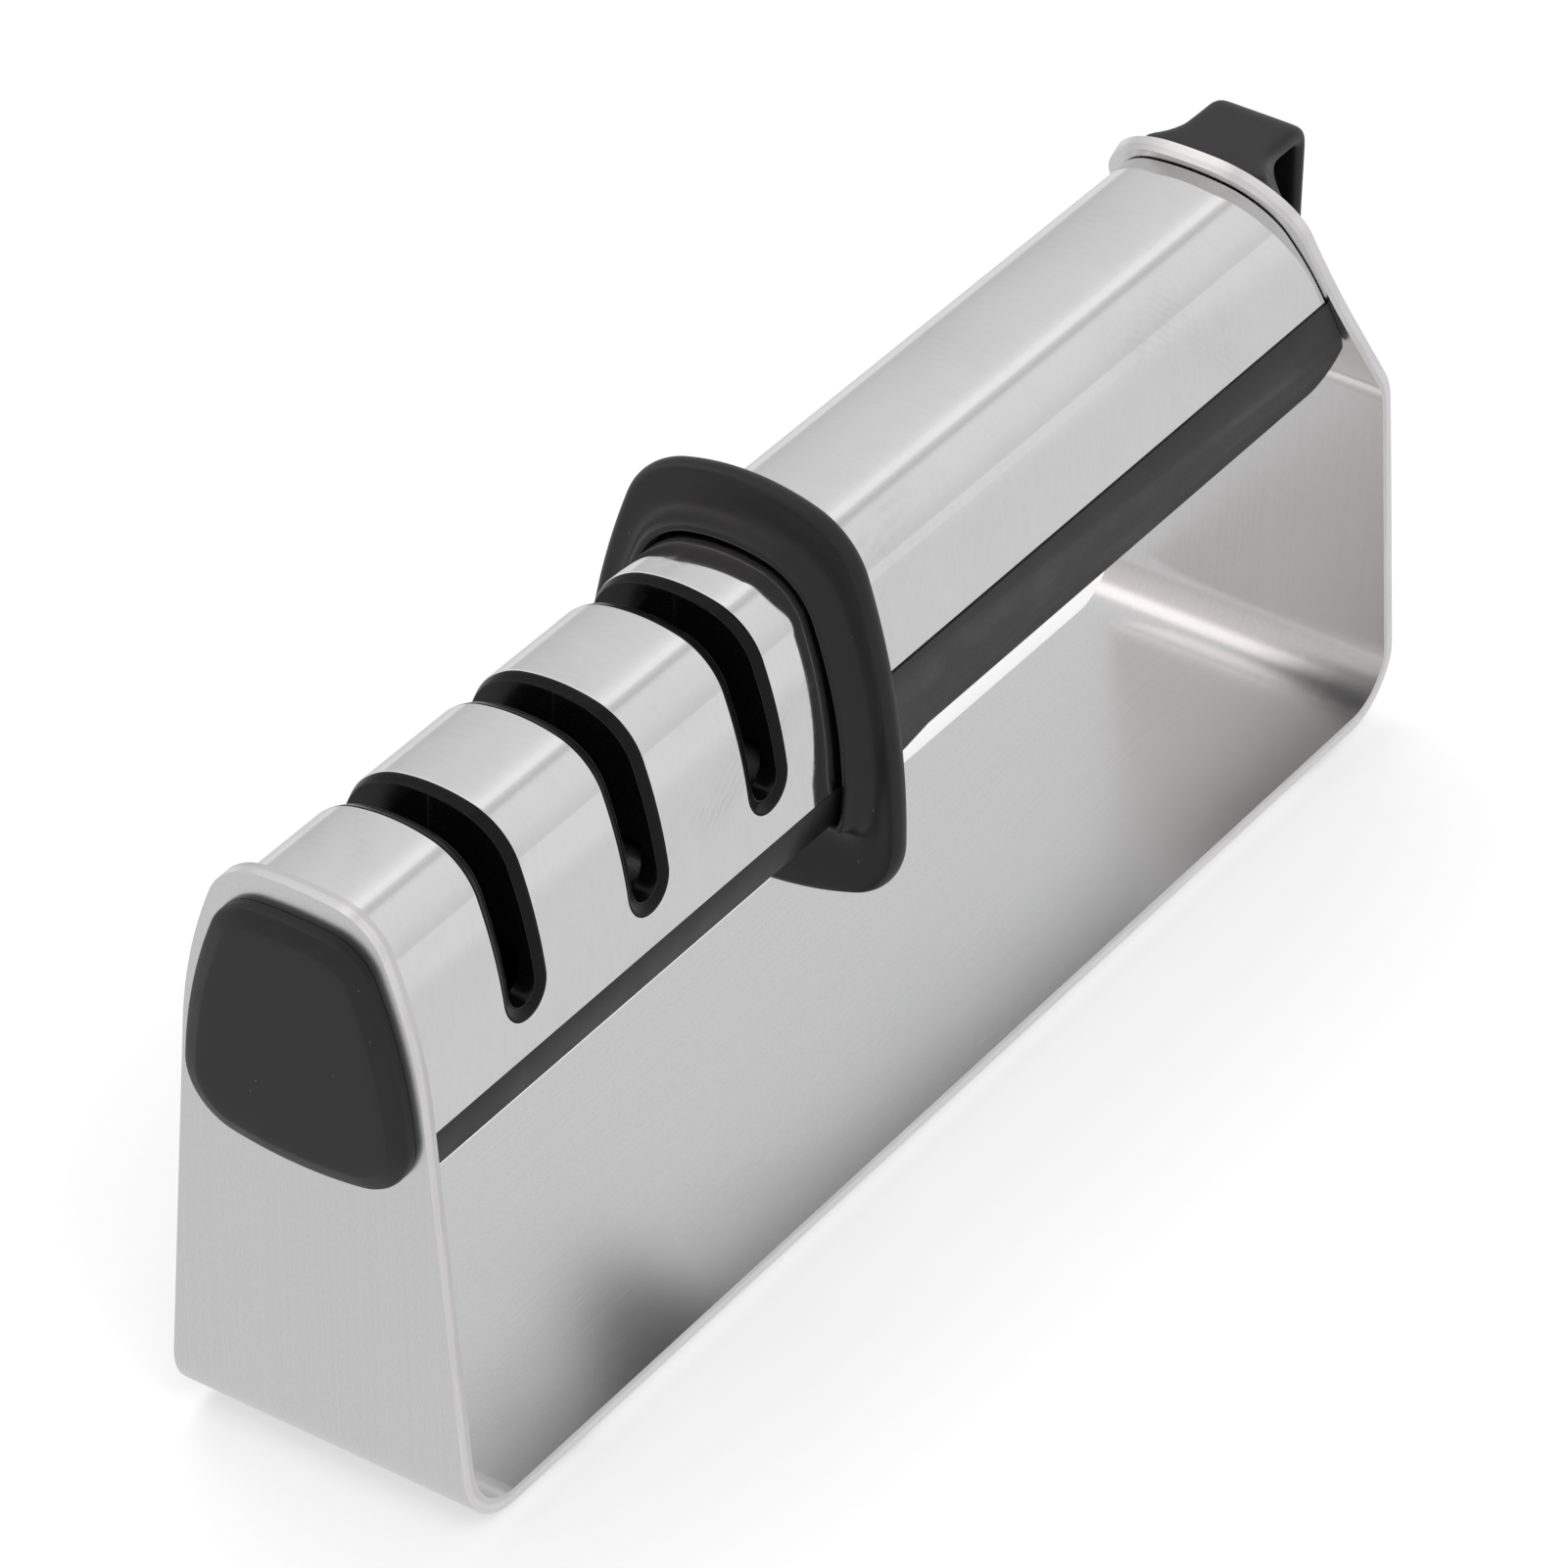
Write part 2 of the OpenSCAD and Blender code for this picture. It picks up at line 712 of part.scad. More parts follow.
// Outline of the head with its lip, grown by a gap
module head_with_lip(gap) {
    head_section(-gap);
    polygon([
        [head_half_w + gap, head_shell_low], [-head_half_w - gap, head_shell_low],
        [-lip_half_w - gap, lip_low - gap], [lip_half_w + gap, lip_low - gap]
    ]);
}

// Rounded edges of the guard and the cap are made of thin slices
guard_edge = guard_t / 2;
guard_edge_steps = 4;
cap_edge_steps = 3;
slice_t = 0.056;

module guard() {
    color(black) placed() difference() {
        union() {
            hull()
                for (i = [-guard_edge_steps:guard_edge_steps])
                    let (deg = 90 * i / guard_edge_steps)
                    along_x(guard_x + guard_edge + (guard_edge - slice_t) * sin(deg) - slice_t, slice_t)
                        guard_outline(guard_edge * (1 - cos(deg)));
            hull() {
                along_x(collar_x, slice_t) head_with_lip(collar_gap + collar_t);
                along_x(guard_x + guard_edge, slice_t) head_with_lip(collar_gap + collar_len);
            }
        }
        along_x(collar_x - over, collar_len + over) head_with_lip(collar_gap);
        along_x(guard_x - over, guard_t + 2 * over) {
            head_section(shell_t);
            polygon([
                [head_half_w + fit, head_shell_low + fit], [-head_half_w - fit, head_shell_low + fit],
                [-lip_half_w - fit, lip_low - fit], [lip_half_w + fit, lip_low - fit]
            ]);
        }
    }
}

// Outline of the cap: the leg's outline drawn in, with a bowed foot and round lower corners
module cap_outline(inset) {
    intersection() {
        polygon(both_sides(side_line(cap_h + cap_inset, leg_arcs, 0, cap_inset + inset)));
        polygon(both_sides(cap_foot_points(inset)));
    }
}

function cap_foot_points(inset) =
    let (w = leg_half_w_at(cap_low) - cap_inset - inset)
    let (corner = [w - cap_corner_r, cap_low + inset + cap_corner_r])
    let (bow_r = cap_corner_r + corner[0] / sin(cap_bow))
    let (bow_centre = corner - (bow_r - cap_corner_r) * heading(180 - cap_bow))
    concat(
        [[0, tall], [base_w, tall], [base_w, corner[1]]],
        arc_points(corner, cap_corner_r, 90, 180 - cap_bow),
        [for (p = arc_points(bow_centre, bow_r, 180 - cap_bow, 180)) [max(p[0], 0), p[1]]]
    );

// Half width of the front leg at a height on its straight lower part
function leg_half_w_at(h) = side_line(front_leg_h, leg_arcs, h)[len(chain(front_leg_h, leg_arcs))][0];

module front_cap() {
    color(black) placed() difference() {
        on_front_leg() hull() {
            along_x(-cap_t + cap_edge, cap_t - cap_edge - fit) cap_outline(0);
            for (i = [1:cap_edge_steps])
                let (deg = 90 * i / cap_edge_steps)
                along_x(-cap_t + cap_edge * (1 - sin(deg)), slice_t)
                    cap_outline(cap_edge * (1 - cos(deg)));
        }
        front_leg_screw_places() leg_head_recess();
    }
}

// Side view of the loop on the slanted leg
module loop_side() {
    outer_x = kink_x - loop_setback;
    loop_h = kink_h + loop_rise;
    foot_h = kink_h + (loop_setback + fit) / tan(rear_lean);
    hole_right = outer_x - loop_wall;
    hole_top = loop_h - loop_top_t;
    difference() {
        polygon(rounded(
            [[outer_x, foot_h], [outer_x, loop_h], [rear_outer_at(loop_h) + fit, loop_h]],
            [0, loop_corner_r, 0]
        ));
        polygon(rounded(
            [
                [hole_right, hole_top - loop_hole_h], [hole_right, hole_top],
                [hole_right - loop_hole_w, hole_top]
            ],
            [loop_hole_r, loop_hole_r, loop_hole_r]
        ));
    }
}

// The loop's outline across the leg, with sides that flare out in an arc where they meet it
module loop_plan() {
    flare_deg = acos(1 - loop_flare / loop_flare_r);
    flare_centre = [loop_flare_r, loop_w / 2 + loop_flare_r];
    polygon(both_sides_y(concat(
        [[tall, loop_w / 2]],
        arc_points(flare_centre, loop_flare_r, 180, 180 + flare_deg),
        [[-over, loop_w / 2 + loop_flare]]
    )));
}

module hang_loop() {
    color(black) placed() difference() {
        intersection() {
            along_y(loop_w + 2 * loop_flare) loop_side();
            at_kink(-rear_lean) linear_extrude(tall, center = true) loop_plan();
        }
        rear_leg_screw_places() leg_head_recess();
    }
}

// First stage: two crossed carbide blades clamped between the cheeks of a holder
carbide_gap = 0.1;
holder_floor_t = 0.5;
carbide_cross_h = edge_h - carbide_w / 2 / sin(carbide_lean);
holder_high = edge_h - holder_drop;
carbide_inner_y = carbide_gap / 2 + carbide_t;
holder_half_y = carbide_inner_y + fit + cheek_t;

// Side view of a blade that leans to the right, with its sharpening edge through the knife's line
module carbide_side() {
    translate([0, edge_h]) rotate(-carbide_lean)
        translate([0, -(carbide_len - carbide_w)])
        square([carbide_w, carbide_len]);
}

// Bore for the carbide screw through everything within a half width
module carbide_screw_bore(half_y) {
    rod_y(slot_x(0), carbide_cross_h, carbide_screw_r + fit, -half_y - over, 2 * (half_y + over));
}

module carbide_blade(side) {
    color([0.35, 0.36, 0.38]) placed() difference() {
        translate([slot_x(0), side * (carbide_gap + carbide_t) / 2, 0])
            along_y(carbide_t) mirror([side > 0 ? 1 : 0, 0]) carbide_side();
        carbide_screw_bore(carbide_inner_y);
    }
}

module carbide_blade_front() carbide_blade(-1);
module carbide_blade_rear() carbide_blade(1);

module carbide_holder() {
    holder_half_x = chamber_half_x - fit;
    color(black) placed() difference() {
        translate([slot_x(0) - holder_half_x, -holder_half_y, chamber_low])
            cube([2 * holder_half_x, 2 * holder_half_y, holder_high - chamber_low]);
        translate([slot_x(0) - chamber_half_x - over, -carbide_inner_y - fit, chamber_low + holder_floor_t])
            cube([2 * (chamber_half_x + over), 2 * (carbide_inner_y + fit), tall]);
        carbide_screw_bore(holder_half_y);
    }
}

module carbide_screw() {
    x = slot_x(0);
    color(steel) placed() {
        rod_y(x, carbide_cross_h, carbide_screw_r, -holder_half_y, 2 * holder_half_y);
        rod_y(x, carbide_cross_h, carbide_head_r, holder_half_y, carbide_head_t);
        rod_y(x, carbide_cross_h, carbide_head_r, -holder_half_y - carbide_head_t, carbide_head_t);
    }
}

// Second and third stages: packs of wheels that turn on two axles and reach between each other
module wheel_pack(stage, side, count, tint) {
    x = slot_x(stage) + side * axle_offset;
    hub_half = chamber_half_y - free_gap;
    color(tint) placed() difference() {
        union() {
            rod_y(x, wheel_axis_h, hub_r, -hub_half, 2 * hub_half);
            for (i = [0:count - 1])
                let (mid_y = (i - (count - 1) / 2) * wheel_pitch)
                rod_y(x, wheel_axis_h, wheel_r, mid_y - wheel_t / 2, wheel_t);
        }
        rod_y(x, wheel_axis_h, axle_r + running_fit, -hub_half - over, 2 * (hub_half + over));
    }
}

module axle(stage, side) {
    axle_half = chamber_half_y + axle_seat - fit;
    color(steel) placed()
        rod_y(slot_x(stage) + side * axle_offset, wheel_axis_h, axle_r, -axle_half, 2 * axle_half);
}

diamond_tint = [0.45, 0.46, 0.48];
ceramic_tint = [0.22, 0.22, 0.23];

module diamond_wheels_front() wheel_pack(1, -1, front_wheels, diamond_tint);
module diamond_wheels_rear() wheel_pack(1, 1, rear_wheels, diamond_tint);
module ceramic_wheels_front() wheel_pack(2, -1, front_wheels, ceramic_tint);
module ceramic_wheels_rear() wheel_pack(2, 1, rear_wheels, ceramic_tint);
module diamond_axle_front() axle(1, -1);
module diamond_axle_rear() axle(1, 1);
module ceramic_axle_front() axle(2, -1);
module ceramic_axle_rear() axle(2, 1);

base_strap();
foot_front_left();
foot_front_right();
foot_rear_left();
foot_rear_right();
core_left();
core_right();
head_shell();
handle_shell();
guard();
front_cap();
hang_loop();
core_screws();
front_leg_screws();
rear_leg_screws();
carbide_holder();
carbide_blade_front();
carbide_blade_rear();
carbide_screw();
diamond_wheels_front();
diamond_wheels_rear();
diamond_axle_front();
diamond_axle_rear();
ceramic_wheels_front();
ceramic_wheels_rear();
ceramic_axle_front();
ceramic_axle_rear();
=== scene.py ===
"""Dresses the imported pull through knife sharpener: smooth pieces, finishes, floor, light and camera."""

import math
from functools import partial

import bmesh
import bpy
from bpy.props import FloatProperty, FloatVectorProperty, IntProperty, PointerProperty
from mathutils import Matrix, Vector


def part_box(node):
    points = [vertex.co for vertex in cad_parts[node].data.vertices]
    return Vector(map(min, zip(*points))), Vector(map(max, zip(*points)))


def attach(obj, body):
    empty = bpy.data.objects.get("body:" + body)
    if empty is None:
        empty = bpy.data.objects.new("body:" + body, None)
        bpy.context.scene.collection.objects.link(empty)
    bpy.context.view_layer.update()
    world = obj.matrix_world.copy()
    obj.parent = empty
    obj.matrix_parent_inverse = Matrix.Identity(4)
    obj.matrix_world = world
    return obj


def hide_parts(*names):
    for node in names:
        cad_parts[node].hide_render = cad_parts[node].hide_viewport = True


bl_info = {
    "name": "Pull Through Knife Sharpener",
    "version": (1, 0, 0),
    "blender": (4, 5, 0),
    "location": "View3D > Sidebar > Sharpener",
    "description": "Builds the visible pieces of a pull through knife sharpener on its CAD frame",
    "category": "Object",
}

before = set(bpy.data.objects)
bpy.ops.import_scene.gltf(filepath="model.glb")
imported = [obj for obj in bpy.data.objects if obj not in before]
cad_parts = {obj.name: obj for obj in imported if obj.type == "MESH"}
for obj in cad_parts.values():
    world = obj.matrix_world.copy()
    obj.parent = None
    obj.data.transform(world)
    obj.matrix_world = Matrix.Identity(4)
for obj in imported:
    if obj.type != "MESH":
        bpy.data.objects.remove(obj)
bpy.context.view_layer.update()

STAND = "stand"
MM = 0.001
FIT = 0.05 * MM  # clearance of seated pieces


def length(name, description, millimetres):
    """A length property with its default in millimetres"""
    return FloatProperty(
        name=name, description=description, default=millimetres * MM, subtype="DISTANCE", unit="LENGTH", precision=5
    )


def angle(name, description, degrees):
    """An angle property with its default in degrees"""
    return FloatProperty(
        name=name, description=description, default=math.radians(degrees), subtype="ANGLE", unit="ROTATION"
    )


def colour(name, description, value):
    """A colour property"""
    return FloatVectorProperty(
        name=name, description=description, default=value, size=3, subtype="COLOR", min=0.0, max=1.0
    )


class StandSizes(bpy.types.PropertyGroup):
    """Sizes of the bent steel stand"""

    base_len: length("Base length", "Length of the stand where the two legs meet the bench", 205)
    base_w: length("Base width", "Width of the flat base plate", 42)
    sheet_t: length("Sheet thickness", "Thickness of the sheet", 2)
    bend_r: length("Bend radius", "Outer radius of the two lower bends", 9.6)
    splay: angle("Splay", "Outward slope of both legs", 1.6)
    front_leg_h: length("Front leg height", "Height of the front leg along its slope", 85.7)
    kink_h: length("Rear bend height", "Height at which the rear leg is bent inward", 47)
    kink_r: length("Rear bend radius", "Outer radius of that bend", 7.5)
    rear_leg_len: length("Rear leg length", "Length of the rear leg along the sheet", 93)
    rear_lean: angle("Rear lean", "Slope of the upper rear leg from upright", 29.6)
    edge_break: length("Edge break", "Width of the broken edge along the sheet", 0.28)
    crown: length("Crown", "Height by which the base plate falls toward its sides", 0.07)


class HeadSizes(bpy.types.PropertyGroup):
    """Sizes of the slotted head"""

    top: length("Top", "Height of the head above the underside of the base plate", 84.5)
    shell_t: length("Shell thickness", "Thickness of the polished shell", 0.8)
    shell_low: length("Shell edge", "Height of the shell's lower edge", 56.5)
    slot_first: length("First slot", "Distance of the first slot from the front of the base plate", 19.7)
    slot_pitch: length("Slot pitch", "Distance from one slot to the next", 24.1)
    slot_w: length("Slot width", "Width of a slot in the polished shell", 8.1)
    slot_low: length("Slot end", "Height of the slots' rounded lower ends", 61)


class HandleSizes(bpy.types.PropertyGroup):
    """Sizes of the handle's shell"""

    top: length("Top", "Height of the handle above the underside of the base plate", 84.5)
    shell_low: length("Shell edge", "Height of the shell's lower edge", 64)
    end_gap: length("End gap", "Gap between the shell and the rear leg", 0.12)


class GuardSizes(bpy.types.PropertyGroup):
    """Sizes of the finger guard"""

    face_x: length("Flange", "Distance of the flange from the front of the base plate", 84.1)
    flange_t: length("Flange thickness", "Thickness of the flange", 2.8)
    top: length("Top", "Height of the guard's top", 92.3)
    collar_gap: length("Collar gap", "Gap between the collar and the head's top", 0.35)
    collar_open: length("Open gap", "Gap between the collar and the head's lower sides", 0.5)
    lip_low: length("Lip underside", "Height of the underside of the head's lip", 51.5)


class CapSizes(bpy.types.PropertyGroup):
    """Sizes of the front cap"""

    top: length("Top", "Height of the cap's top", 82)
    low: length("Lower corners", "Height of the cap's lower corners", 48.1)
    proud: length("Thickness", "Distance by which the cap stands out from the leg", 2.5)
    inset: length("Inset", "Distance of the cap's sides from the leg's edges", 1.2)
    corner_r: length("Corner radius", "Radius of the lower corners", 8)
    bow: angle("Bow", "Slope of the bowed lower edge at its corners", 10)


class SmallSizes(bpy.types.PropertyGroup):
    """Sizes of the small pieces"""

    break_w: length("Moulded edge", "Width of the soft edges of the moulded body", 0.22)
    voxel: length("Loop detail", "Finest detail of the soft moulded hang loop", 0.32)
    swell: length("Loop swell", "Width given back to the loop after its corners are relaxed", 0.3)
    wheel_count_front: IntProperty(name="Front wheels", description="Wheels in a stage's front pack", default=5)
    wheel_count_rear: IntProperty(name="Rear wheels", description="Wheels in a stage's rear pack", default=4)
    wheel_pitch: length("Wheel pitch", "Distance from one wheel to the next", 3)
    wheel_t: length("Wheel thickness", "Thickness of a sharpening wheel", 1.2)
    wheel_r: length("Wheel radius", "Radius of a sharpening wheel", 5)
    hub_r: length("Hub radius", "Radius of the hub that carries the wheels", 2.4)
    axle_r: length("Axle radius", "Radius of an axle", 1.5)


class FinishColours(bpy.types.PropertyGroup):
    """Colours of the finishes"""

    brushed: colour("Brushed steel", "The bent stand", (0.765, 0.765, 0.77))
    cut_edge: colour("Cut edge", "The stand's cut edges", (0.84, 0.825, 0.835))
    polished: colour("Polished steel", "The two shells", (0.80, 0.80, 0.804))
    moulded: colour("Black plastic", "Body, guard, cap and loop", (0.0075, 0.0075, 0.0078))
    # The lining black is also laid on the body's faces in the slots and chambers, where it is painted shade
    lining: colour("Slot lining", "The black rims of the slots", (0.0025, 0.0025, 0.0026))
    rubber: colour("Rubber", "The feet", (0.02, 0.02, 0.02))
    turned: colour("Turned steel", "Screws and axles", (0.55, 0.55, 0.56))
    carbide: colour("Carbide", "The crossed blades", (0.16, 0.165, 0.18))
    diamond: colour("Diamond coat", "The second stage's wheels", (0.22, 0.225, 0.24))
    ceramic: colour("Ceramic", "The third stage's wheels", (0.045, 0.045, 0.047))
    floor: colour("Floor", "The plain floor", (0.85, 0.85, 0.85))


# Angles, from straight up, at which one arc of an outline passes into the next, with the arcs' radii
LEG_ARCS = ((51, 6), (8, 68.5), (71, 85.5))
REAR_ARCS = ((38, 5), (12, 88.5), (-225, 82.2), (300, 85))
HEAD_ARCS = ((23, 13), (9.2, 68.5), (64, 85.5))
GUARD_ARCS = ((31.5, 17), (11.5, 70.6), (110, 89.4), (9.7, 159.5))
HANDLE_ARCS = ((25, 12), (9.4, 75.3), (52, 88))
# Brightness of the studio round the stand's length, by the angle from straight up toward the near side
PANELS = (
    (-180, 0.62), (-95, 0.62), (-81, 0.60), (-63, 0.655), (-45, 0.71), (-28, 0.74), (-19, 0.78), (-11, 0.92),
    (-5, 0.98), (1, 0.95), (6, 0.70), (12, 0.60), (15, 0.63), (19, 0.76), (25, 0.80), (43, 0.785), (61, 0.77),
    (73, 0.735), (85, 0.695), (180, 0.69),
)
# Level of the even dome, and the floor's level in reflections near the stand and far from it, by distance; the lower
# level near the stand is painted shade
DOME_LEVEL = 0.62
FLOOR_SHADE_NEAR, FLOOR_SHADE_FAR = (0.24, 0.70), (0.38, 0.79)
# Tint of the studio before the front leg, and the lamp behind the rear leg
WARM_SIDE = (1.0, 0.945, 0.925)
REAR_SOFTBOX = (1.45, 1.37, 1.33)
# Degrees from one point of an arc to the next
ARC_STEP = 1.5


def heading(deg):
    """Direction at an angle from straight up"""
    return Vector((math.sin(math.radians(deg)), math.cos(math.radians(deg))))


def chain(top, arcs, inset=0.0):
    """Points and outward directions along the right half of an outline, from its top down"""
    line = [(Vector((0, top - inset)), heading(0))]
    centre = Vector((0, top - arcs[0][0] * MM))
    start = 0
    for index, (radius, end) in enumerate(arcs):
        if index:
            centre = centre + (arcs[index - 1][0] - radius) * MM * heading(start)
        count = max(1, math.ceil(abs(end - start) / ARC_STEP))
        for k in range(1, count + 1):
            out = heading(start + (end - start) * k / count)
            line.append((centre + (radius * MM - inset) * out, out))
        start = end
    return line


def chain_to(top, arcs, low, inset=0.0):
    """The same outline, run straight on to a lower height"""
    line = chain(top, arcs, inset)
    end, out = line[-1]
    slope = heading(arcs[-1][1] + 90)
    line.append((end + slope * (low - end.y) / slope.y, out))
    return line


def closed_arcs(top, arcs):
    """The arcs of a closed outline, with a last one that comes back to the middle at the bottom"""
    centre = Vector((0, top - arcs[0][0] * MM))
    for index in range(1, len(arcs)):
        centre = centre + (arcs[index - 1][0] - arcs[index][0]) * MM * heading(arcs[index - 1][1])
    bottom = arcs[-1][0] + centre.x / MM / math.sin(math.radians(arcs[-1][1]))
    return arcs + ((bottom, 180),)


def with_heights(half, heights):
    """A half outline with points added at given heights"""
    line = [half[0]]
    for (a, out_a), (b, out_b) in zip(half, half[1:]):
        for height in sorted(heights, reverse=True):
            if b.y + 1e-6 < height < a.y - 1e-6:
                t = (a.y - height) / (a.y - b.y)
                line.append((a.lerp(b, t), out_a.lerp(out_b, t).normalized()))
        line.append((b, out_b))
    return line


def both_sides(half):
    """A full outline from the lower left over the top to the lower right"""
    left = [(Vector((-p.x, p.y)), Vector((-n.x, n.y))) for p, n in reversed(half[1:])]
    return left + half


def width_at(half, height):
    """Half width of an outline at a height"""
    for (a, _), (b, _) in zip(half, half[1:]):
        if b.y <= height <= a.y:
            return a.x + (b.x - a.x) * (a.y - height) / max(a.y - b.y, 1e-9)
    return half[-1][0].x


# Places along X are measured from the front end of the base plate, heights from its underside
FRONT_FOOT = 22.6 * MM
FOOT_LOW, FOOT_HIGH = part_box("foot_front_left")
ORIGIN_X = (FOOT_LOW.x + FOOT_HIGH.x) / 2 - FRONT_FOOT
ORIGIN_Z = FOOT_HIGH.z


def place(x, y, z):
    """A point of the frame from its place on the stand"""
    return Vector((x + ORIGIN_X, y, z + ORIGIN_Z))


def front_inner_x(stand, height):
    """Inner face of the front leg at a height"""
    return -height * math.tan(stand.splay) + stand.sheet_t / math.cos(stand.splay)


def kink_x(stand):
    """The rear leg's bend, before it is rounded"""
    return stand.base_len + stand.kink_h * math.tan(stand.splay)


def rear_inner_x(stand, height):
    """Inner face of the slanted rear leg at a height"""
    outer = kink_x(stand) - (height - stand.kink_h) * math.tan(stand.rear_lean)
    return outer - stand.sheet_t / math.cos(stand.rear_lean)


def new_object(name, data):
    """An object in the scene"""
    made = bpy.data.objects.new(name, data)
    bpy.context.scene.collection.objects.link(made)
    return made


def mesh_object(name, points, faces):
    """A mesh piece with its doubles merged and its faces outward"""
    mesh = bpy.data.meshes.new(name)
    mesh.from_pydata([tuple(p) for p in points], [], faces)
    bm = bmesh.new()
    bm.from_mesh(mesh)
    bmesh.ops.remove_doubles(bm, verts=bm.verts, dist=1e-7)
    bmesh.ops.dissolve_degenerate(bm, edges=bm.edges, dist=1e-8)
    bmesh.ops.recalc_face_normals(bm, faces=bm.faces)
    bm.to_mesh(mesh)
    bm.free()
    return new_object(name, mesh)


def smooth(piece, limit=32):
    """Smooth faces with creases where they meet at more than a limit"""
    piece.data.shade_smooth()
    piece.data.set_sharp_from_angle(angle=math.radians(limit))
    return piece


def modify(piece, name, kind, **settings):
    """Adds a modifier with its settings"""
    modifier = piece.modifiers.new(name, kind)
    for key, value in settings.items():
        setattr(modifier, key, value)


def bevel(piece, width, segments=3, limit=35):
    """Rounds a piece's edges and keeps its flat faces flat"""
    piece.data.shade_smooth()
    modify(
        piece, "rounded_edges", "BEVEL", width=width, segments=segments, limit_method="ANGLE",
        angle_limit=math.radians(limit), harden_normals=True, use_clamp_overlap=True,
    )


def settle(piece):
    """Turns a piece with its modifiers into a plain mesh"""
    bpy.context.view_layer.update()
    depsgraph = bpy.context.evaluated_depsgraph_get()
    mesh = bpy.data.meshes.new_from_object(
        piece.evaluated_get(depsgraph), preserve_all_data_layers=True, depsgraph=depsgraph
    )
    mesh.name = piece.name
    piece.modifiers.clear()
    piece.data = mesh
    if not len(mesh.polygons):
        raise RuntimeError(f"{piece.name} has no faces")
    return piece


def dress(piece, material=None, body=STAND, nodes=()):
    """Gives a finished piece its finish, its body and the CAD nodes that it stands for"""
    if material:
        piece.data.materials.clear()
        piece.data.materials.append(material)
    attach(piece, body)
    if nodes:
        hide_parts(*nodes)
    return piece


def sheet_solid(outer, inner, faces):
    """A closed sheet from matching outer and inner points and the faces of its outer side"""
    index = {}
    same = [index.setdefault(tuple(round(c * 1e7) for c in p), k) for k, p in enumerate(outer)]
    outside = [list(dict.fromkeys(same[k] for k in face)) for face in faces]
    outside = [face for face in outside if len(face) > 2]
    uses = {}
    for face in outside:
        for a, b in zip(face, face[1:] + face[:1]):
            uses[frozenset((a, b))] = uses.get(frozenset((a, b)), 0) + 1
    count = len(outer)
    all_faces = list(outside) + [[k + count for k in reversed(face)] for face in outside]
    for face in outside:
        for a, b in zip(face, face[1:] + face[:1]):
            if uses[frozenset((a, b))] == 1:
                all_faces.append([b, a, a + count, b + count])
    return list(outer) + list(inner), all_faces


def rounded_edge(outside, into, depth_in, radius):
    """Depth and direction of a skin at a distance from its edge, which is rounded over"""
    if depth_in >= radius:
        return 0.0, outside
    lean = 1 - max(depth_in, 0.0) / radius
    rest = math.sqrt(1 - lean * lean)
    return radius * (1 - rest), (outside * rest + into * lean).normalized()


def skin_piece(name, outer, inner, directions, inner_directions, faces):
    """A closed sheet whose mirror-like skin takes its directions from the outline itself"""
    points, solid = sheet_solid(outer, inner, faces)
    count = len(outer)
    index, same, unique = {}, [], []
    for p in points:
        key = tuple(round(c * 1e8) for c in p)
        if key not in index:
            index[key] = len(unique)
            unique.append(tuple(p))
        same.append(index[key])
    skins = sum(1 for face in solid if all(k < count for k in face))
    polygons, normals = [], []
    for k, face in enumerate(solid):
        if k < skins:
            toward = [directions[v] for v in face]
        elif k < 2 * skins:
            toward = [inner_directions[v - count] for v in face]
        else:
            toward = [directions[v % count] for v in face]
        across = (points[face[2]] - points[face[0]]).cross(points[face[-1]] - points[face[1]])
        if across.dot(sum(toward, Vector((0, 0, 0)))) < 0:
            face, toward = face[::-1], toward[::-1]
        polygons.append([same[v] for v in face])
        normals.extend(toward)
    mesh = bpy.data.meshes.new(name)
    mesh.from_pydata(unique, [], polygons)
    mesh.shade_smooth()
    mesh.normals_split_custom_set([tuple(n) for n in normals])
    return new_object(name, mesh)


def grid_faces(rows, columns, gaps=()):
    """Faces of a grid of points given row by row, without the columns that stay open"""
    return [
        [a, a + 1, a + 1 + columns, a + columns]
        for row in range(0, (rows - 1) * columns, columns)
        for a in (row + column for column in range(columns - 1) if column not in gaps)
    ]


def mirrored_ring(half):
    """A closed ring in the frame from its right half, given as places on the stand"""
    return [place(*spot) for spot in half] + [place(x, -y, z) for x, y, z in reversed(half[1:-1])]


def rings_solid(name, rings, capped=False):
    """A piece from closed rings of equal count, joined in turn; the last meets the first, or both are capped"""
    size, count = len(rings[0]), len(rings)
    faces = []
    for k in range(count - 1 if capped else count):
        after = (k + 1) % count
        for i in range(size):
            j = (i + 1) % size
            faces.append([k * size + i, k * size + j, after * size + j, after * size + i])
    if capped:
        faces.append(list(range(size))[::-1])
        faces.append(list(range((count - 1) * size, count * size)))
    return mesh_object(name, [spot for ring in rings for spot in ring], faces)


# Finishes


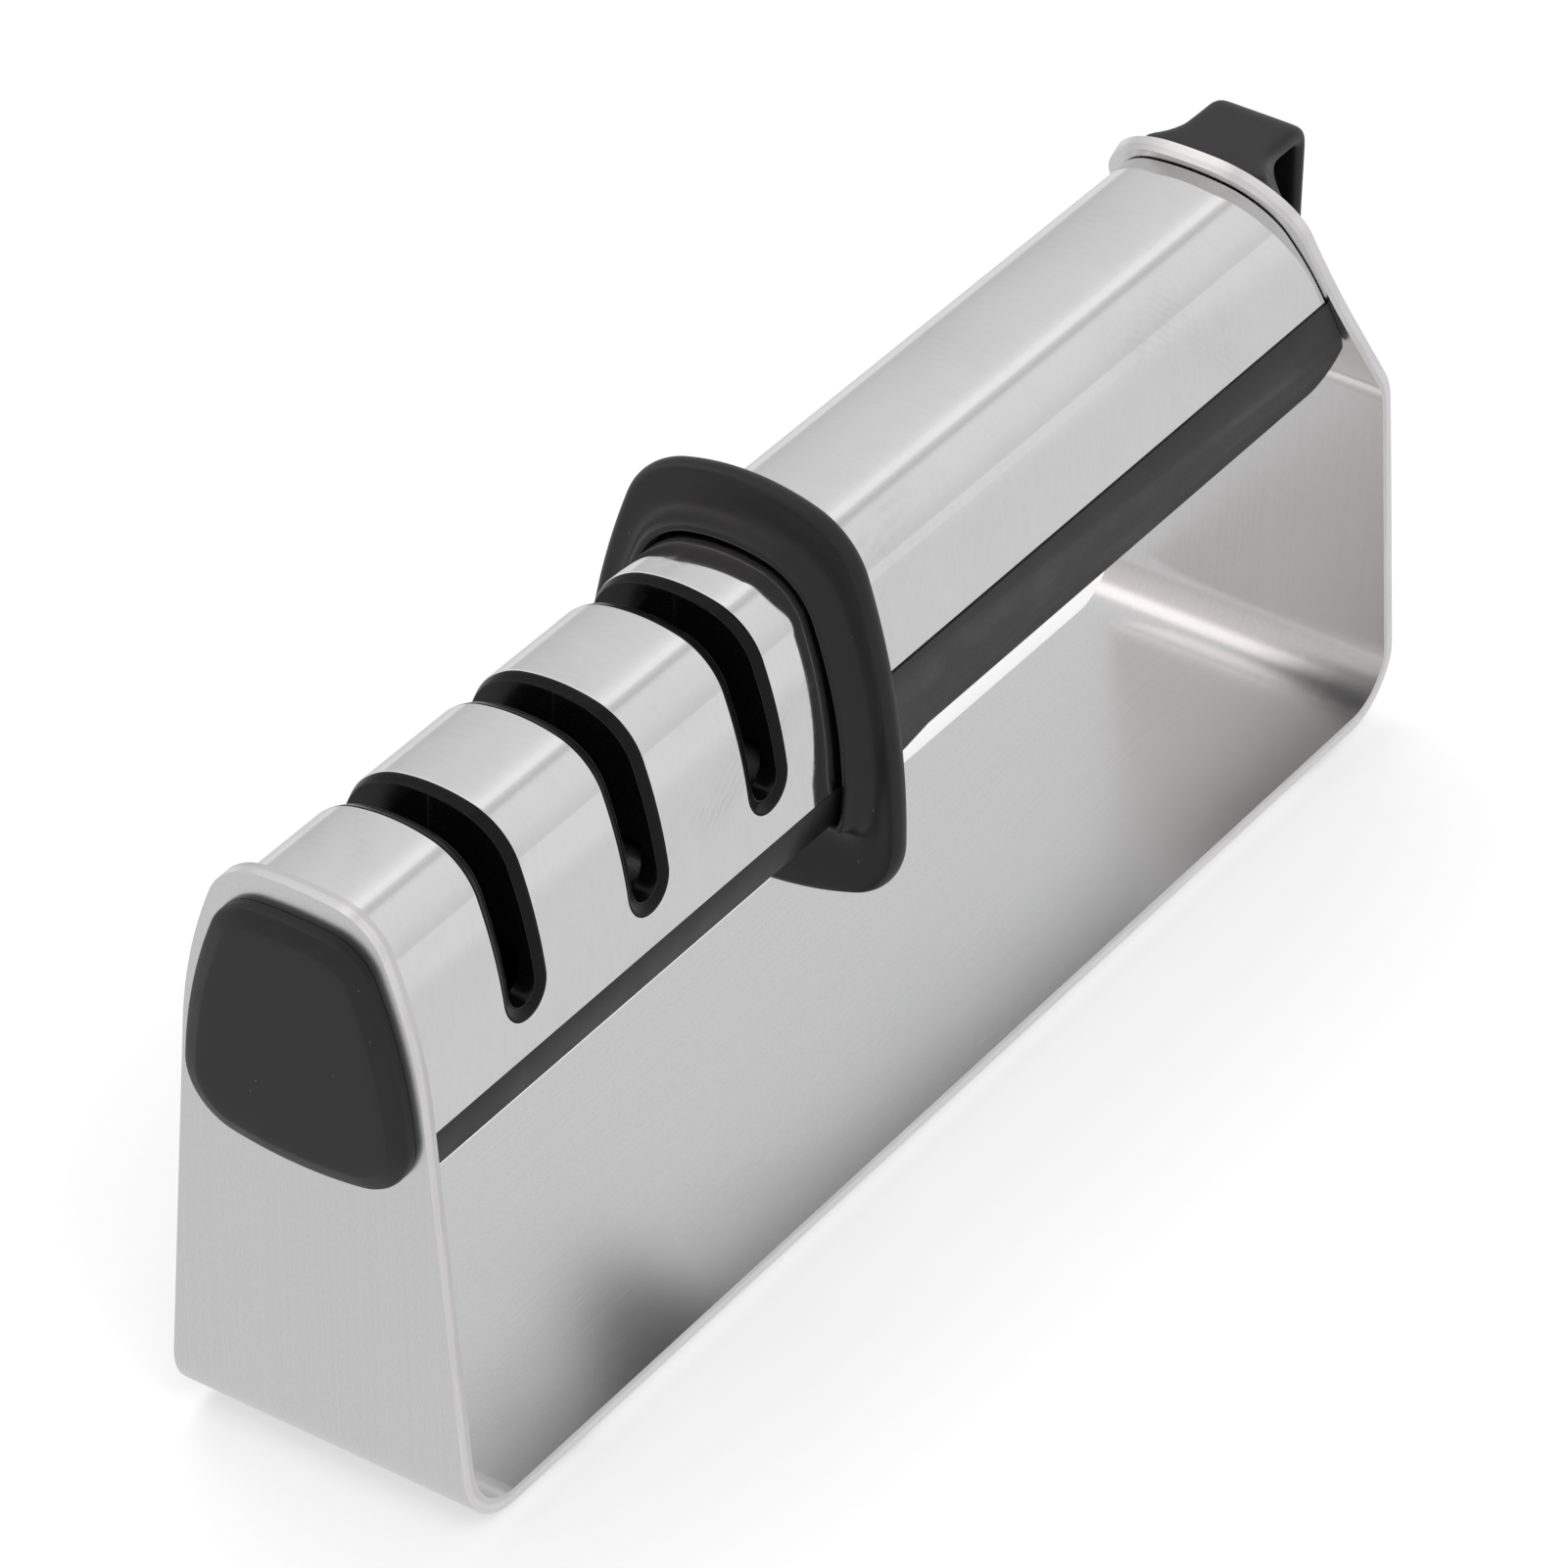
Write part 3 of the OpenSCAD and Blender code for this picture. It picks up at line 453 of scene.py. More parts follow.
class Wiring:
    """A node tree with short ways to add nodes and to feed their sockets"""

    def __init__(self, tree):
        self.tree = tree

    def feed(self, socket, value):
        """Links a socket to an output, or sets it"""
        if isinstance(value, bpy.types.NodeSocket):
            self.tree.links.new(value, socket)
        elif socket.type == "RGBA":
            socket.default_value = (*value, 1)
        else:
            socket.default_value = value

    def add(self, kind, *values, out=0, sockets=(), **settings):
        """Adds a node, feeds its sockets in their order and by name, and gives one of its outputs"""
        node = self.tree.nodes.new(kind)
        for key, value in settings.items():
            setattr(node, key, value)
        for socket, value in zip(node.inputs, values):
            self.feed(socket, value)
        for key, value in dict(sockets).items():
            self.feed(node.inputs[key], value)
        return node.outputs[out] if len(node.outputs) else node

    def math(self, operation, *values):
        """One step of arithmetic"""
        return self.add("ShaderNodeMath", *values, operation=operation)

    def times(self, a, b):
        return self.math("MULTIPLY", a, b)

    def plus(self, a, b):
        return self.math("ADD", a, b)

    def remap(self, value, low, high, to_low=0.0, to_high=1.0, curve="LINEAR"):
        """A value stretched from one range to another, kept inside it"""
        return self.add("ShaderNodeMapRange", value, low, high, to_low, to_high, interpolation_type=curve)

    def mix_colour(self, factor, a, b, blend="MIX"):
        return self.add("ShaderNodeMix", out=2, data_type="RGBA", blend_type=blend, sockets={0: factor, 6: a, 7: b})


class Finish(Wiring):
    """A finish of one material, drawn on the object's coordinates or on one of its UV maps"""

    def __init__(self, name, base, metallic, roughness, specular=0.5):
        self.material = bpy.data.materials.new(name)
        self.material.use_nodes = True
        super().__init__(self.material.node_tree)
        self.base = base
        self.shader = self.tree.nodes["Principled BSDF"].inputs
        for key, value in (
            ("Base Color", base), ("Metallic", metallic), ("Roughness", roughness), ("Specular IOR Level", specular),
        ):
            self.feed(self.shader[key], value)

    def coordinates(self, scale, on=None):
        """Scaled coordinates; one number scales all three alike"""
        if on:
            source = self.add("ShaderNodeUVMap", uv_map=on)
        else:
            source = self.add("ShaderNodeTexCoord", out="Object")
        scale = scale if isinstance(scale, tuple) else (scale, scale, scale)
        return self.add("ShaderNodeMapping", sockets={"Vector": source, "Scale": scale})

    def noise(self, scale, detail=3.0, rough=0.5, distortion=0.0, on=None):
        """Soft noise"""
        named = {"Scale": 1.0, "Detail": detail, "Roughness": rough, "Distortion": distortion}
        return self.add("ShaderNodeTexNoise", self.coordinates(scale, on), out="Fac", sockets=named)

    def cells(self, scale):
        """Outputs of a cell pattern"""
        return self.add("ShaderNodeTexVoronoi", self.coordinates(scale), sockets={"Scale": 1.0}).node.outputs

    def tones(self, factor, low, high):
        """The base colour between two shades of itself"""
        shades = [tuple(min(1.0, c * shade) for c in self.base) for shade in (low, high)]
        return self.mix_colour(factor, *shades)

    def done(self, tone, rough, height, distance, strength):
        """Feeds the shader its colour, roughness and relief"""
        relief = {"Distance": distance, "Strength": strength, "Height": height}
        self.feed(self.shader["Base Color"], tone)
        self.feed(self.shader["Roughness"], rough)
        self.feed(self.shader["Normal"], self.add("ShaderNodeBump", out="Normal", sockets=relief))
        return self.material


def brushed_finish(colours):
    """Sheet steel brushed along its length, with faint smears"""
    f = Finish("brushed_steel", colours.brushed, 1.0, 0.26)
    bands = f.noise((9, 1900, 1), 3.0, 0.6, on="blank")
    hair = f.noise((22, 9000, 1), 3.0, 0.6, on="blank")
    smears = f.noise((28, 60, 1), on="blank")
    drawn = f.noise((9, 700, 1), 1.0, on="blank")
    speckle = f.noise((1500, 3200, 1), 3.0, 0.7, on="blank")
    grain = f.plus(f.times(bands, 0.45), f.times(hair, 0.55))
    rough = f.plus(f.remap(grain, 0.35, 0.65, 0.24, 0.262), f.remap(smears, 0.4, 0.7, -0.008, 0.018))
    mottled = f.plus(f.times(grain, 0.5), f.times(speckle, 0.5))
    f.feed(f.shader["Anisotropic"], 0.35)
    f.feed(f.shader["Anisotropic Rotation"], 0.25)
    f.feed(f.shader["Tangent"], f.add("ShaderNodeTangent", direction_type="UV_MAP", uv_map="blank"))
    return f.done(f.tones(f.remap(mottled, 0.36, 0.64), 0.955, 1.045), rough, drawn, 0.000003, 0.4)


def cut_edge_finish(colours):
    """Sheared edge of the sheet: a bright burnished band beside a duller broken one"""
    f = Finish("cut_steel_edge", colours.cut_edge, 1.0, 0.28)
    drag = f.noise((60, 2600, 1), 3.0, 0.55, on="edge")
    border = f.noise((140, 30, 1), 2.0, on="edge")
    depth = f.add("ShaderNodeSeparateXYZ", f.coordinates((1, 1000, 1), "edge"), out="Y")
    broken = f.remap(f.plus(depth, f.remap(border, 0.3, 0.7, -0.12, 0.12)), 1.05, 1.3)
    rough = f.plus(f.remap(drag, 0.3, 0.7, 0.24, 0.3), f.times(broken, 0.06))
    wear = f.noise((90, 900, 1), 4.0, 0.6, on="edge")
    worn = f.plus(f.times(broken, 0.55), f.remap(wear, 0.3, 0.7, 0, 0.45))
    return f.done(f.tones(worn, 1.1, 0.84), rough, drag, 0.000006, 0.4)


def polished_finish(colours):
    """Polished shell with faint waves, hairline wipes and finger marks"""
    f = Finish("polished_steel", colours.polished, 1.0, 0.05)
    waves = f.noise((22, 45, 45), 2.0)
    wipes = f.noise((900, 260, 260), 4.0, 0.6, 1.2)
    patches = f.noise((38, 55, 55), 4.0, 0.55, 0.6)
    rings = {"Scale": 330, "Distortion": 9, "Detail": 2, "Detail Scale": 0.35}
    ridges = f.add(
        "ShaderNodeTexWave", f.coordinates(1), out="Fac", sockets=rings, wave_type="RINGS", rings_direction="SPHERICAL"
    )
    touched = f.remap(patches, 0.56, 0.66)
    marks = f.times(touched, f.remap(ridges, 0.2, 0.8, 0.0, 0.08))
    smear = f.times(f.remap(patches, 0.46, 0.62), f.remap(wipes, 0.35, 0.65, 0.0, 0.04))
    rough = f.plus(f.plus(marks, smear), f.remap(wipes, 0.3, 0.7, 0.035, 0.055))
    print_lines = f.times(touched, f.remap(ridges, 0.2, 0.8, 0, 0.45))
    hazy = f.plus(
        f.remap(patches, 0.4, 0.7, 0, 0.45), f.plus(print_lines, f.remap(wipes, 0.35, 0.65, -0.1, 0.15))
    )
    return f.done(f.tones(hazy, 1.03, 0.92), rough, waves, 0.00003, 0.3)


def moulded_finish(colours):
    """Satin black plastic with a fine spark-eroded grain and rare specks of dust"""
    f = Finish("moulded_black", colours.moulded, 0.0, 0.42, 0.42)
    grain = f.noise(5200, 3.0, 0.6)
    flow = f.noise(90, 4.0, 0.55, 0.5)
    dust = f.cells(420)
    rare = f.add("ShaderNodeSeparateColor", dust["Color"], out="Red")
    speck = f.times(f.remap(dust["Distance"], 0.03, 0.06, 1, 0), f.remap(rare, 0.9, 0.92))
    rough = f.plus(f.remap(flow, 0.35, 0.7, 0.37, 0.49), f.remap(grain, 0.3, 0.7, -0.03, 0.04))
    tone = f.tones(f.remap(flow, 0.35, 0.7), 0.85, 1.3)
    return f.done(f.mix_colour(speck, tone, (0.12, 0.12, 0.12)), rough, grain, 0.00002, 0.35)


def lining_finish(colours):
    """Glossier, darker black of the slots' rims, drawn along the slot; on the body's faces in the slots and chambers
    the darker black is painted shade
    """
    f = Finish("slot_lining_black", colours.lining, 0.0, 0.24, 0.18)
    drawn = f.noise((4200, 260, 260), 3.0, 0.55)
    grain = f.noise(2600, 2.0)
    rough = f.plus(f.remap(drawn, 0.35, 0.65, 0.2, 0.28), f.remap(grain, 0.35, 0.65, -0.02, 0.02))
    return f.done(f.tones(f.remap(grain, 0.35, 0.65), 0.8, 1.4), rough, drawn, 0.000004, 0.4)


def rubber_finish(colours):
    """Matte rubber with a coarse grain"""
    f = Finish("foot_rubber", colours.rubber, 0.0, 0.75)
    grain = f.noise(2200, 4.0, 0.65)
    rough = f.remap(grain, 0.3, 0.7, 0.68, 0.85)
    return f.done(f.tones(f.remap(grain, 0.3, 0.7), 0.8, 1.5), rough, grain, 0.00005, 0.6)


def turned_finish(name, base, low, high):
    """Turned or ground metal with fine rings across its length"""
    f = Finish(name, base, 1.0, low)
    rings = f.noise((1200, 5200, 1200), 3.0, 0.6)
    rough = f.remap(rings, 0.3, 0.7, low, high)
    return f.done(f.tones(f.remap(rings, 0.3, 0.7), 0.88, 1.08), rough, rings, 0.00001, 0.5)


def grit_finish(colours):
    """Fine diamond grit in a nickel coat"""
    f = Finish("diamond_coat", colours.diamond, 0.9, 0.5)
    grit = f.cells(6500)["Distance"]
    return f.done(f.tones(grit, 1.8, 0.6), f.remap(grit, 0.1, 0.7, 0.3, 0.65), grit, 0.00005, 0.8)


def ceramic_finish(colours):
    """Fine ground ceramic"""
    f = Finish("ground_ceramic", colours.ceramic, 0.0, 0.55)
    grain = f.noise(3500, 4.0, 0.6)
    stain = f.noise(250, 3.0)
    rough = f.remap(grain, 0.3, 0.7, 0.45, 0.65)
    return f.done(f.tones(f.remap(stain, 0.4, 0.7), 1.0, 0.86), rough, grain, 0.00003, 0.5)


MAKERS = {
    "brushed_steel": brushed_finish,
    "cut_edge": cut_edge_finish,
    "polished_steel": polished_finish,
    "black_plastic": moulded_finish,
    "slot_lining": lining_finish,
    "rubber_feet": rubber_finish,
    "screw_steel": lambda colours: turned_finish("turned_steel", colours.turned, 0.25, 0.4),
    "carbide": lambda colours: turned_finish("ground_carbide", colours.carbide, 0.2, 0.34),
    "diamond_coat": grit_finish,
    "dark_ceramic": ceramic_finish,
}
FINISHES = {}


def finish(name):
    """A finish by its name, made once"""
    if name not in FINISHES:
        FINISHES[name] = MAKERS[name](bpy.context.scene.sharpener_colours)
    return FINISHES[name]


# Geometry node trees


def new_tree(name, inputs):
    """A geometry node tree with named inputs, its wiring and its two ends"""
    tree = bpy.data.node_groups.new(name, "GeometryNodeTree")
    for label, kind in (("Geometry", "Geometry"), *inputs):
        tree.interface.new_socket(label, in_out="INPUT", socket_type="NodeSocket" + kind)
    tree.interface.new_socket("Geometry", in_out="OUTPUT", socket_type="NodeSocketGeometry")
    return Wiring(tree), tree.nodes.new("NodeGroupInput").outputs, tree.nodes.new("NodeGroupOutput").inputs


def give_tree(owner, tree, **values):
    """Puts a tree on a piece and sets its inputs by their identifiers"""
    modifier = owner.modifiers.new(tree.name, "NODES")
    modifier.node_group = tree
    for item in tree.interface.items_tree:
        key = item.name.replace(" ", "_").lower()
        if item.in_out == "INPUT" and key in values:
            modifier[item.identifier] = values[key]
    return modifier


def bend_tree():
    """Bends a flat blank, drawn as length, width and depth, along a path with rounded corners"""
    w, given, result = new_tree(
        "bend_blank_along_path", (("Path", "Object"), ("Sheet Material", "Material"), ("Edge Material", "Material"))
    )
    path = w.add("GeometryNodeObjectInfo", given["Path"], out="Geometry")
    fillet = w.tree.nodes.new("GeometryNodeFilletCurve")
    if "Mode" in fillet.inputs:
        fillet.inputs["Mode"].default_value = "Poly"
    else:
        fillet.mode = "POLY"
    w.feed(fillet.inputs["Count"], CORNER_POINTS)
    w.feed(fillet.inputs["Curve"], path)
    w.feed(fillet.inputs["Radius"], w.add("GeometryNodeInputRadius"))
    split = w.add("ShaderNodeSeparateXYZ", w.add("GeometryNodeInputPosition")).node
    sockets = {"Curves": fillet.outputs["Curve"], "Length": split.outputs["X"]}
    sample = w.add("GeometryNodeSampleCurve", mode="LENGTH", sockets=sockets).node
    inward = w.add("ShaderNodeVectorMath", sample.outputs["Tangent"], (0, 1, 0), operation="CROSS_PRODUCT")
    deep = w.add("ShaderNodeVectorMath", inward, sockets={"Scale": split.outputs["Z"]}, operation="SCALE")
    across = w.add("ShaderNodeCombineXYZ", sockets={"Y": split.outputs["Y"]})
    middle = w.add("ShaderNodeVectorMath", sample.outputs["Position"], deep, operation="ADD")
    where = w.add("ShaderNodeVectorMath", middle, across, operation="ADD")
    bent = w.add("GeometryNodeSetPosition", given["Geometry"], sockets={"Position": where})
    is_edge = w.add("FunctionNodeCompare", data_type="INT", operation="EQUAL")
    first, second = [socket for socket in is_edge.node.inputs if socket.type == "INT"]
    w.feed(first, w.add("GeometryNodeInputMaterialIndex"))
    w.feed(second, 1)
    is_sheet = w.add("FunctionNodeBooleanMath", is_edge, operation="NOT")
    painted = w.add("GeometryNodeRealizeInstances", bent)
    for faces, material in ((is_sheet, "Sheet Material"), (is_edge, "Edge Material")):
        sockets = {"Selection": faces, "Material": given[material]}
        painted = w.add("GeometryNodeSetMaterial", painted, sockets=sockets)
    w.feed(result["Geometry"], painted)
    return w.tree


def repeat_tree():
    """Sets a turned piece on each point of a mesh, turned by the point's own angles"""
    w, given, result = new_tree("set_piece_on_points", (("Piece", "Object"), ("Material", "Material")))
    piece = w.add("GeometryNodeObjectInfo", given["Piece"], out="Geometry")
    angles = w.add(
        "GeometryNodeInputNamedAttribute", out="Attribute", data_type="FLOAT_VECTOR", sockets={"Name": "turn"}
    )
    sockets = {"Points": given["Geometry"], "Instance": piece, "Rotation": angles}
    real = w.add("GeometryNodeRealizeInstances", w.add("GeometryNodeInstanceOnPoints", sockets=sockets))
    w.feed(result["Geometry"], w.add("GeometryNodeSetMaterial", real, sockets={"Material": given["Material"]}))
    return w.tree


TREES = {}


def tree_named(name):
    """A tree by its name, made once"""
    if name not in TREES:
        TREES[name] = {"bend": bend_tree, "repeat": repeat_tree}[name]()
    return TREES[name]


def lathe(name, profile, sides=48):
    """A turned piece about Z from a profile of radius and height, which is closed or ends on the axis"""
    points, faces, rows = [], [], []
    for radius, height in profile:
        if radius < 1e-9:
            rows.append([len(points)] * sides)
            points.append((0, 0, height))
        else:
            rows.append([len(points) + k for k in range(sides)])
            for k in range(sides):
                turn = 2 * math.pi * k / sides
                points.append((radius * math.cos(turn), radius * math.sin(turn), height))
    for low, high in zip(rows, rows[1:]):
        for k in range(sides):
            j = (k + 1) % sides
            face = list(dict.fromkeys((low[k], low[j], high[j], high[k])))
            if len(face) > 2:
                faces.append(face)
    return smooth(mesh_object(name, points, faces))


def rod_profile(radius, low, high, round_r):
    """Profile of a plain rod with rounded ends"""
    turns = [math.radians(30 * k) for k in range(4)]
    corner = [(round_r * math.sin(turn), round_r * math.cos(turn)) for turn in turns]
    start = [(radius - round_r + a, low + round_r - b) for a, b in corner]
    end = [(radius - round_r + b, high - round_r + a) for a, b in corner]
    return [(0, low), *start, *end, (0, high)]


def repeated(node, turned, places, slot, body=STAND):
    """Sets a turned piece at places, each a point and its angles, as one plain mesh for a CAD node"""
    mesh = bpy.data.meshes.new(node + "_piece")
    mesh.from_pydata([tuple(p) for p, _ in places], [], [])
    angles = mesh.attributes.new("turn", "FLOAT_VECTOR", "POINT")
    angles.data.foreach_set("vector", [c for _, t in places for c in t])
    piece = new_object(node + "_piece", mesh)
    give_tree(piece, tree_named("repeat"), piece=turned, material=finish(slot))
    settle(piece)
    bpy.data.objects.remove(turned)
    return dress(piece, None, body, (node,))


def from_cad(node):
    """A merged copy of a CAD node, whose flat faces are joined up"""
    bm = bmesh.new()
    bm.from_mesh(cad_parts[node].data)
    bmesh.ops.remove_doubles(bm, verts=bm.verts, dist=2e-6)
    bmesh.ops.dissolve_limit(bm, angle_limit=math.radians(0.4), verts=bm.verts, edges=bm.edges)
    mesh = bpy.data.meshes.new(node + "_shape")
    bm.to_mesh(mesh)
    bm.free()
    return new_object(node + "_piece", mesh)


class SharpenerOperator(bpy.types.Operator):
    """Shared settings of the builders"""

    bl_options = {"REGISTER", "UNDO"}

    def execute(self, context):
        self.build(context.scene)
        return {"FINISHED"}


# Rows of the blank's mesh in a bend, along the base and along the lower rear leg, and points of a rounded corner
BEND_ROWS, BASE_ROWS, LEG_ROWS, CORNER_POINTS = 32, 20, 16, 47


class SHARPENER_OT_stand(SharpenerOperator):
    """Bend the steel stand from its flat blank"""

    bl_idname = "sharpener.stand"
    bl_label = "Bent Stand"

    def rows(self, s):
        """Length along the blank and half width of each row, from the front leg's top to the rear leg's"""
        front = chain_to(s.front_leg_h, LEG_ARCS, -s.bend_r)
        rear = chain_to(s.rear_leg_len, REAR_ARCS, -s.bend_r)
        widest = s.base_w / 2
        low_turn = math.pi / 2 - s.splay
        kink_turn = s.splay + s.rear_lean
        low_run = s.bend_r * math.tan(low_turn / 2)
        kink_run = s.kink_r * math.tan(kink_turn / 2)
        lower_leg = s.kink_h / math.cos(s.splay)
        arc = s.bend_r * low_turn
        bend = [k / BEND_ROWS for k in range(BEND_ROWS + 1)]
        rows = [(s.front_leg_h - p.y, min(p.x, widest)) for p, _ in front if p.y > low_run]
        at = s.front_leg_h - low_run

        def stretch(long, shares, width):
            """Adds rows at shares of a stretch of the blank"""
            nonlocal at
            rows.extend((at + long * share, min(width(share), widest)) for share in shares)
            at += long

        def inner_rows(count):
            """Shares of the rows between a straight stretch's ends"""
            return [k / count for k in range(1, count)]

        stretch(arc, bend, lambda share: width_at(front, low_run - s.bend_r * math.sin(low_turn * share)))
        stretch(s.base_len - 2 * low_run, inner_rows(BASE_ROWS), lambda share: widest)
        stretch(arc, bend, lambda share: width_at(rear, low_run - s.bend_r * math.sin(low_turn * (1 - share))))
        straight = lower_leg - low_run - kink_run
        stretch(straight, inner_rows(LEG_ROWS), lambda share: width_at(rear, low_run + straight * share))
        kink_low = lower_leg - kink_run
        stretch(s.kink_r * kink_turn, bend, lambda share: width_at(rear, kink_low + 2 * kink_run * share))
        total = at + s.rear_leg_len - lower_leg - kink_run
        for p, _ in reversed(rear):
            if p.y > lower_leg + kink_run + 1e-5:
                rows.append((total - (s.rear_leg_len - p.y), min(p.x, widest)))
        return rows

    def path(self, s):
        """The outer face of the bent sheet from the side, with each corner's radius"""
        data = bpy.data.curves.new("stand_path", "CURVE")
        data.dimensions = "3D"
        spline = data.splines.new("POLY")
        lean = Vector((-math.sin(s.rear_lean), 0, math.cos(s.rear_lean)))
        kink = place(kink_x(s), 0, s.kink_h)
        rest = s.rear_leg_len - s.kink_h / math.cos(s.splay)
        corners = (
            (place(-s.front_leg_h * math.sin(s.splay), 0, s.front_leg_h * math.cos(s.splay)), 0),
            (place(0, 0, 0), s.bend_r),
            (place(s.base_len, 0, 0), s.bend_r),
            (kink, s.kink_r),
            (kink + lean * rest, 0),
        )
        spline.points.add(len(corners) - 1)
        for point, (where, radius) in zip(spline.points, corners):
            point.co = (*where, 1)
            point.radius = radius
        return new_object("stand_path", data)

    def build(self, scene):
        s = scene.sharpener_stand
        outer, inner = [], []
        rows = self.rows(s)
        shares = (-1, -0.5, 0, 0.5, 1)
        start, end = s.front_leg_h, s.front_leg_h + s.base_len
        for at, half in rows:
            curl = s.crown * max(0.0, 1 - ((2 * at - start - end) / (end - start)) ** 8)
            for share in shares:
                outer.append(Vector((at, share * half, 0)))
                inner.append(Vector((at, share * half, s.sheet_t - curl * share * share)))
        blank = mesh_object("stand_strap", *sheet_solid(outer, inner, grid_faces(len(rows), len(shares))))
        mesh = blank.data
        uv = mesh.uv_layers.new(name="blank")
        edge_uv = mesh.uv_layers.new(name="edge")
        for loop in mesh.loops:
            where = mesh.vertices[loop.vertex_index].co
            uv.data[loop.index].uv = (where.x, where.y + where.z)
            edge_uv.data[loop.index].uv = (where.x, where.z)
        mesh.materials.append(finish("brushed_steel"))
        mesh.materials.append(finish("cut_edge"))
        for polygon in mesh.polygons:
            if abs(polygon.normal.z) < 0.5:
                polygon.material_index = 1
        bevel(blank, s.edge_break, 3)
        path = self.path(s)
        give_tree(
            blank, tree_named("bend"), path=path,
            sheet_material=finish("brushed_steel"), edge_material=finish("cut_edge"),
        )
        settle(blank)
        bpy.data.objects.remove(path)
        dress(blank, None, STAND, ("base_strap",))


class SHARPENER_OT_feet(SharpenerOperator):
    """Turn the four round feet"""

    bl_idname = "sharpener.feet"
    bl_label = "Feet"

    def build(self, scene):
        for node in ("foot_front_left", "foot_front_right", "foot_rear_left", "foot_rear_right"):
            low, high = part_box(node)
            radius = (high.x - low.x) / 2
            turned = lathe(node + "_turned", rod_profile(radius, 0, high.z - low.z, 0.4 * MM), 64)
            where = Vector(((low.x + high.x) / 2, (low.y + high.y) / 2, low.z))
            repeated(node, turned, [(where, (0, 0, 0))], "rubber_feet")


def slot_places(head):
    """Middles of the slots along X"""
    return [head.slot_first + head.slot_pitch * k for k in range(3)]


def slot_heights(head, steps=12):
    """Heights of the rows round a slot's lower end"""
    radius = head.slot_w / 2
    return [head.slot_low + radius * (1 - math.cos(math.pi / 2 * k / steps)) for k in range(steps + 1)]


def slot_half(head, height, grow=0.0):
    """Half width of a slot, or of an outline round it, at a height"""
    radius = head.slot_w / 2 + grow
    rise = head.slot_low + head.slot_w / 2 - height
    if rise <= 0:
        return radius
    return math.sqrt(max(radius * radius - rise * rise, 0))


# Rounding of the shells' edges, and the steps of the mesh away from an edge
EDGE_R = 0.15 * MM
EDGE_STEPS = [EDGE_R * share for share in (0, 0.05, 0.2, 0.55, 1)]


def downward(p, out):
    """Direction down along an outline"""
    return Vector((out.y, -out.x)) if p.x > 0 else Vector((-out.y, out.x))


def nearest_edge(x, p, out, front, rear, low, head=None):
    """Distance from a place on a shell to its nearest edge, and the direction toward that edge"""
    down = downward(p, out)
    choices = [
        (x - front, Vector((-1, 0, 0))), (rear - x, Vector((1, 0, 0))), (p.y - low, Vector((0, down.x, down.y))),
    ]
    for middle in slot_places(head) if head else ():
        slot_r = head.slot_w / 2
        aside, rise = x - middle, max(head.slot_low + slot_r - p.y, 0.0)
        away = math.hypot(aside, rise)
        if away > 1e-9:
            toward = Vector((-aside, -down.x * rise, -down.y * rise)) / away
            choices.append((away - slot_r, toward))
    return min(choices, key=lambda choice: choice[0])


def shell_section(top, arcs, low, heights=()):
    """Section of a shell, with points at given heights and close together at its lower edges"""
    close = [low + step for step in EDGE_STEPS[1:]]
    return both_sides(with_heights(chain_to(top, arcs, low), [*heights, *close]))


def polished_shell(node, section, ends, low, thickness, head=None):
    """Forms a polished shell on its section between its two ends, with a head's slots left open"""
    slots = slot_places(head) if head else ()
    outer, inner, directions, inward = [], [], [], []
    for p, out in section:
        front, rear = ends(p.y)
        xs = [front + step for step in EDGE_STEPS]
        for middle in slots:
            halves = [slot_half(head, p.y, step) for step in EDGE_STEPS]
            halves = [0.0 if w < 2e-5 else w for w in halves]
            xs += [middle - w for w in reversed(halves)] + [middle + w for w in halves]
        xs += [rear - step for step in reversed(EDGE_STEPS)]
        outside = Vector((0, out.x, out.y))
        for x in xs:
            far, into = nearest_edge(x, p, out, front, rear, low, head)
            sink, toward = rounded_edge(outside, into, far, EDGE_R)
            at, deep = p - out * sink, p - out * thickness
            outer.append(place(x, at.x, at.y))
            inner.append(place(x, deep.x, deep.y))
            directions.append(toward)
            inward.append(-outside)
    steps = len(EDGE_STEPS)
    openings = [steps + 2 * steps * k + steps - 1 for k in range(len(slots))]
    faces = grid_faces(len(section), 2 * steps * (len(slots) + 1), openings)
    shell = skin_piece(node + "_piece", outer, inner, directions, inward, faces)
    dress(shell, finish("polished_steel"), STAND, (node,))


# A slot rim's section, in millimetres into the slot and below the shell's face
RIM_PROFILE = (
    (0.10, 1.5), (0.10, 0.16), (0.15, 0.10), (0.24, 0.08), (1.30, 0.46), (1.42, 0.54), (1.50, 0.66), (1.52, 0.82),
    (1.52, 1.5), (1.46, 1.58),
)


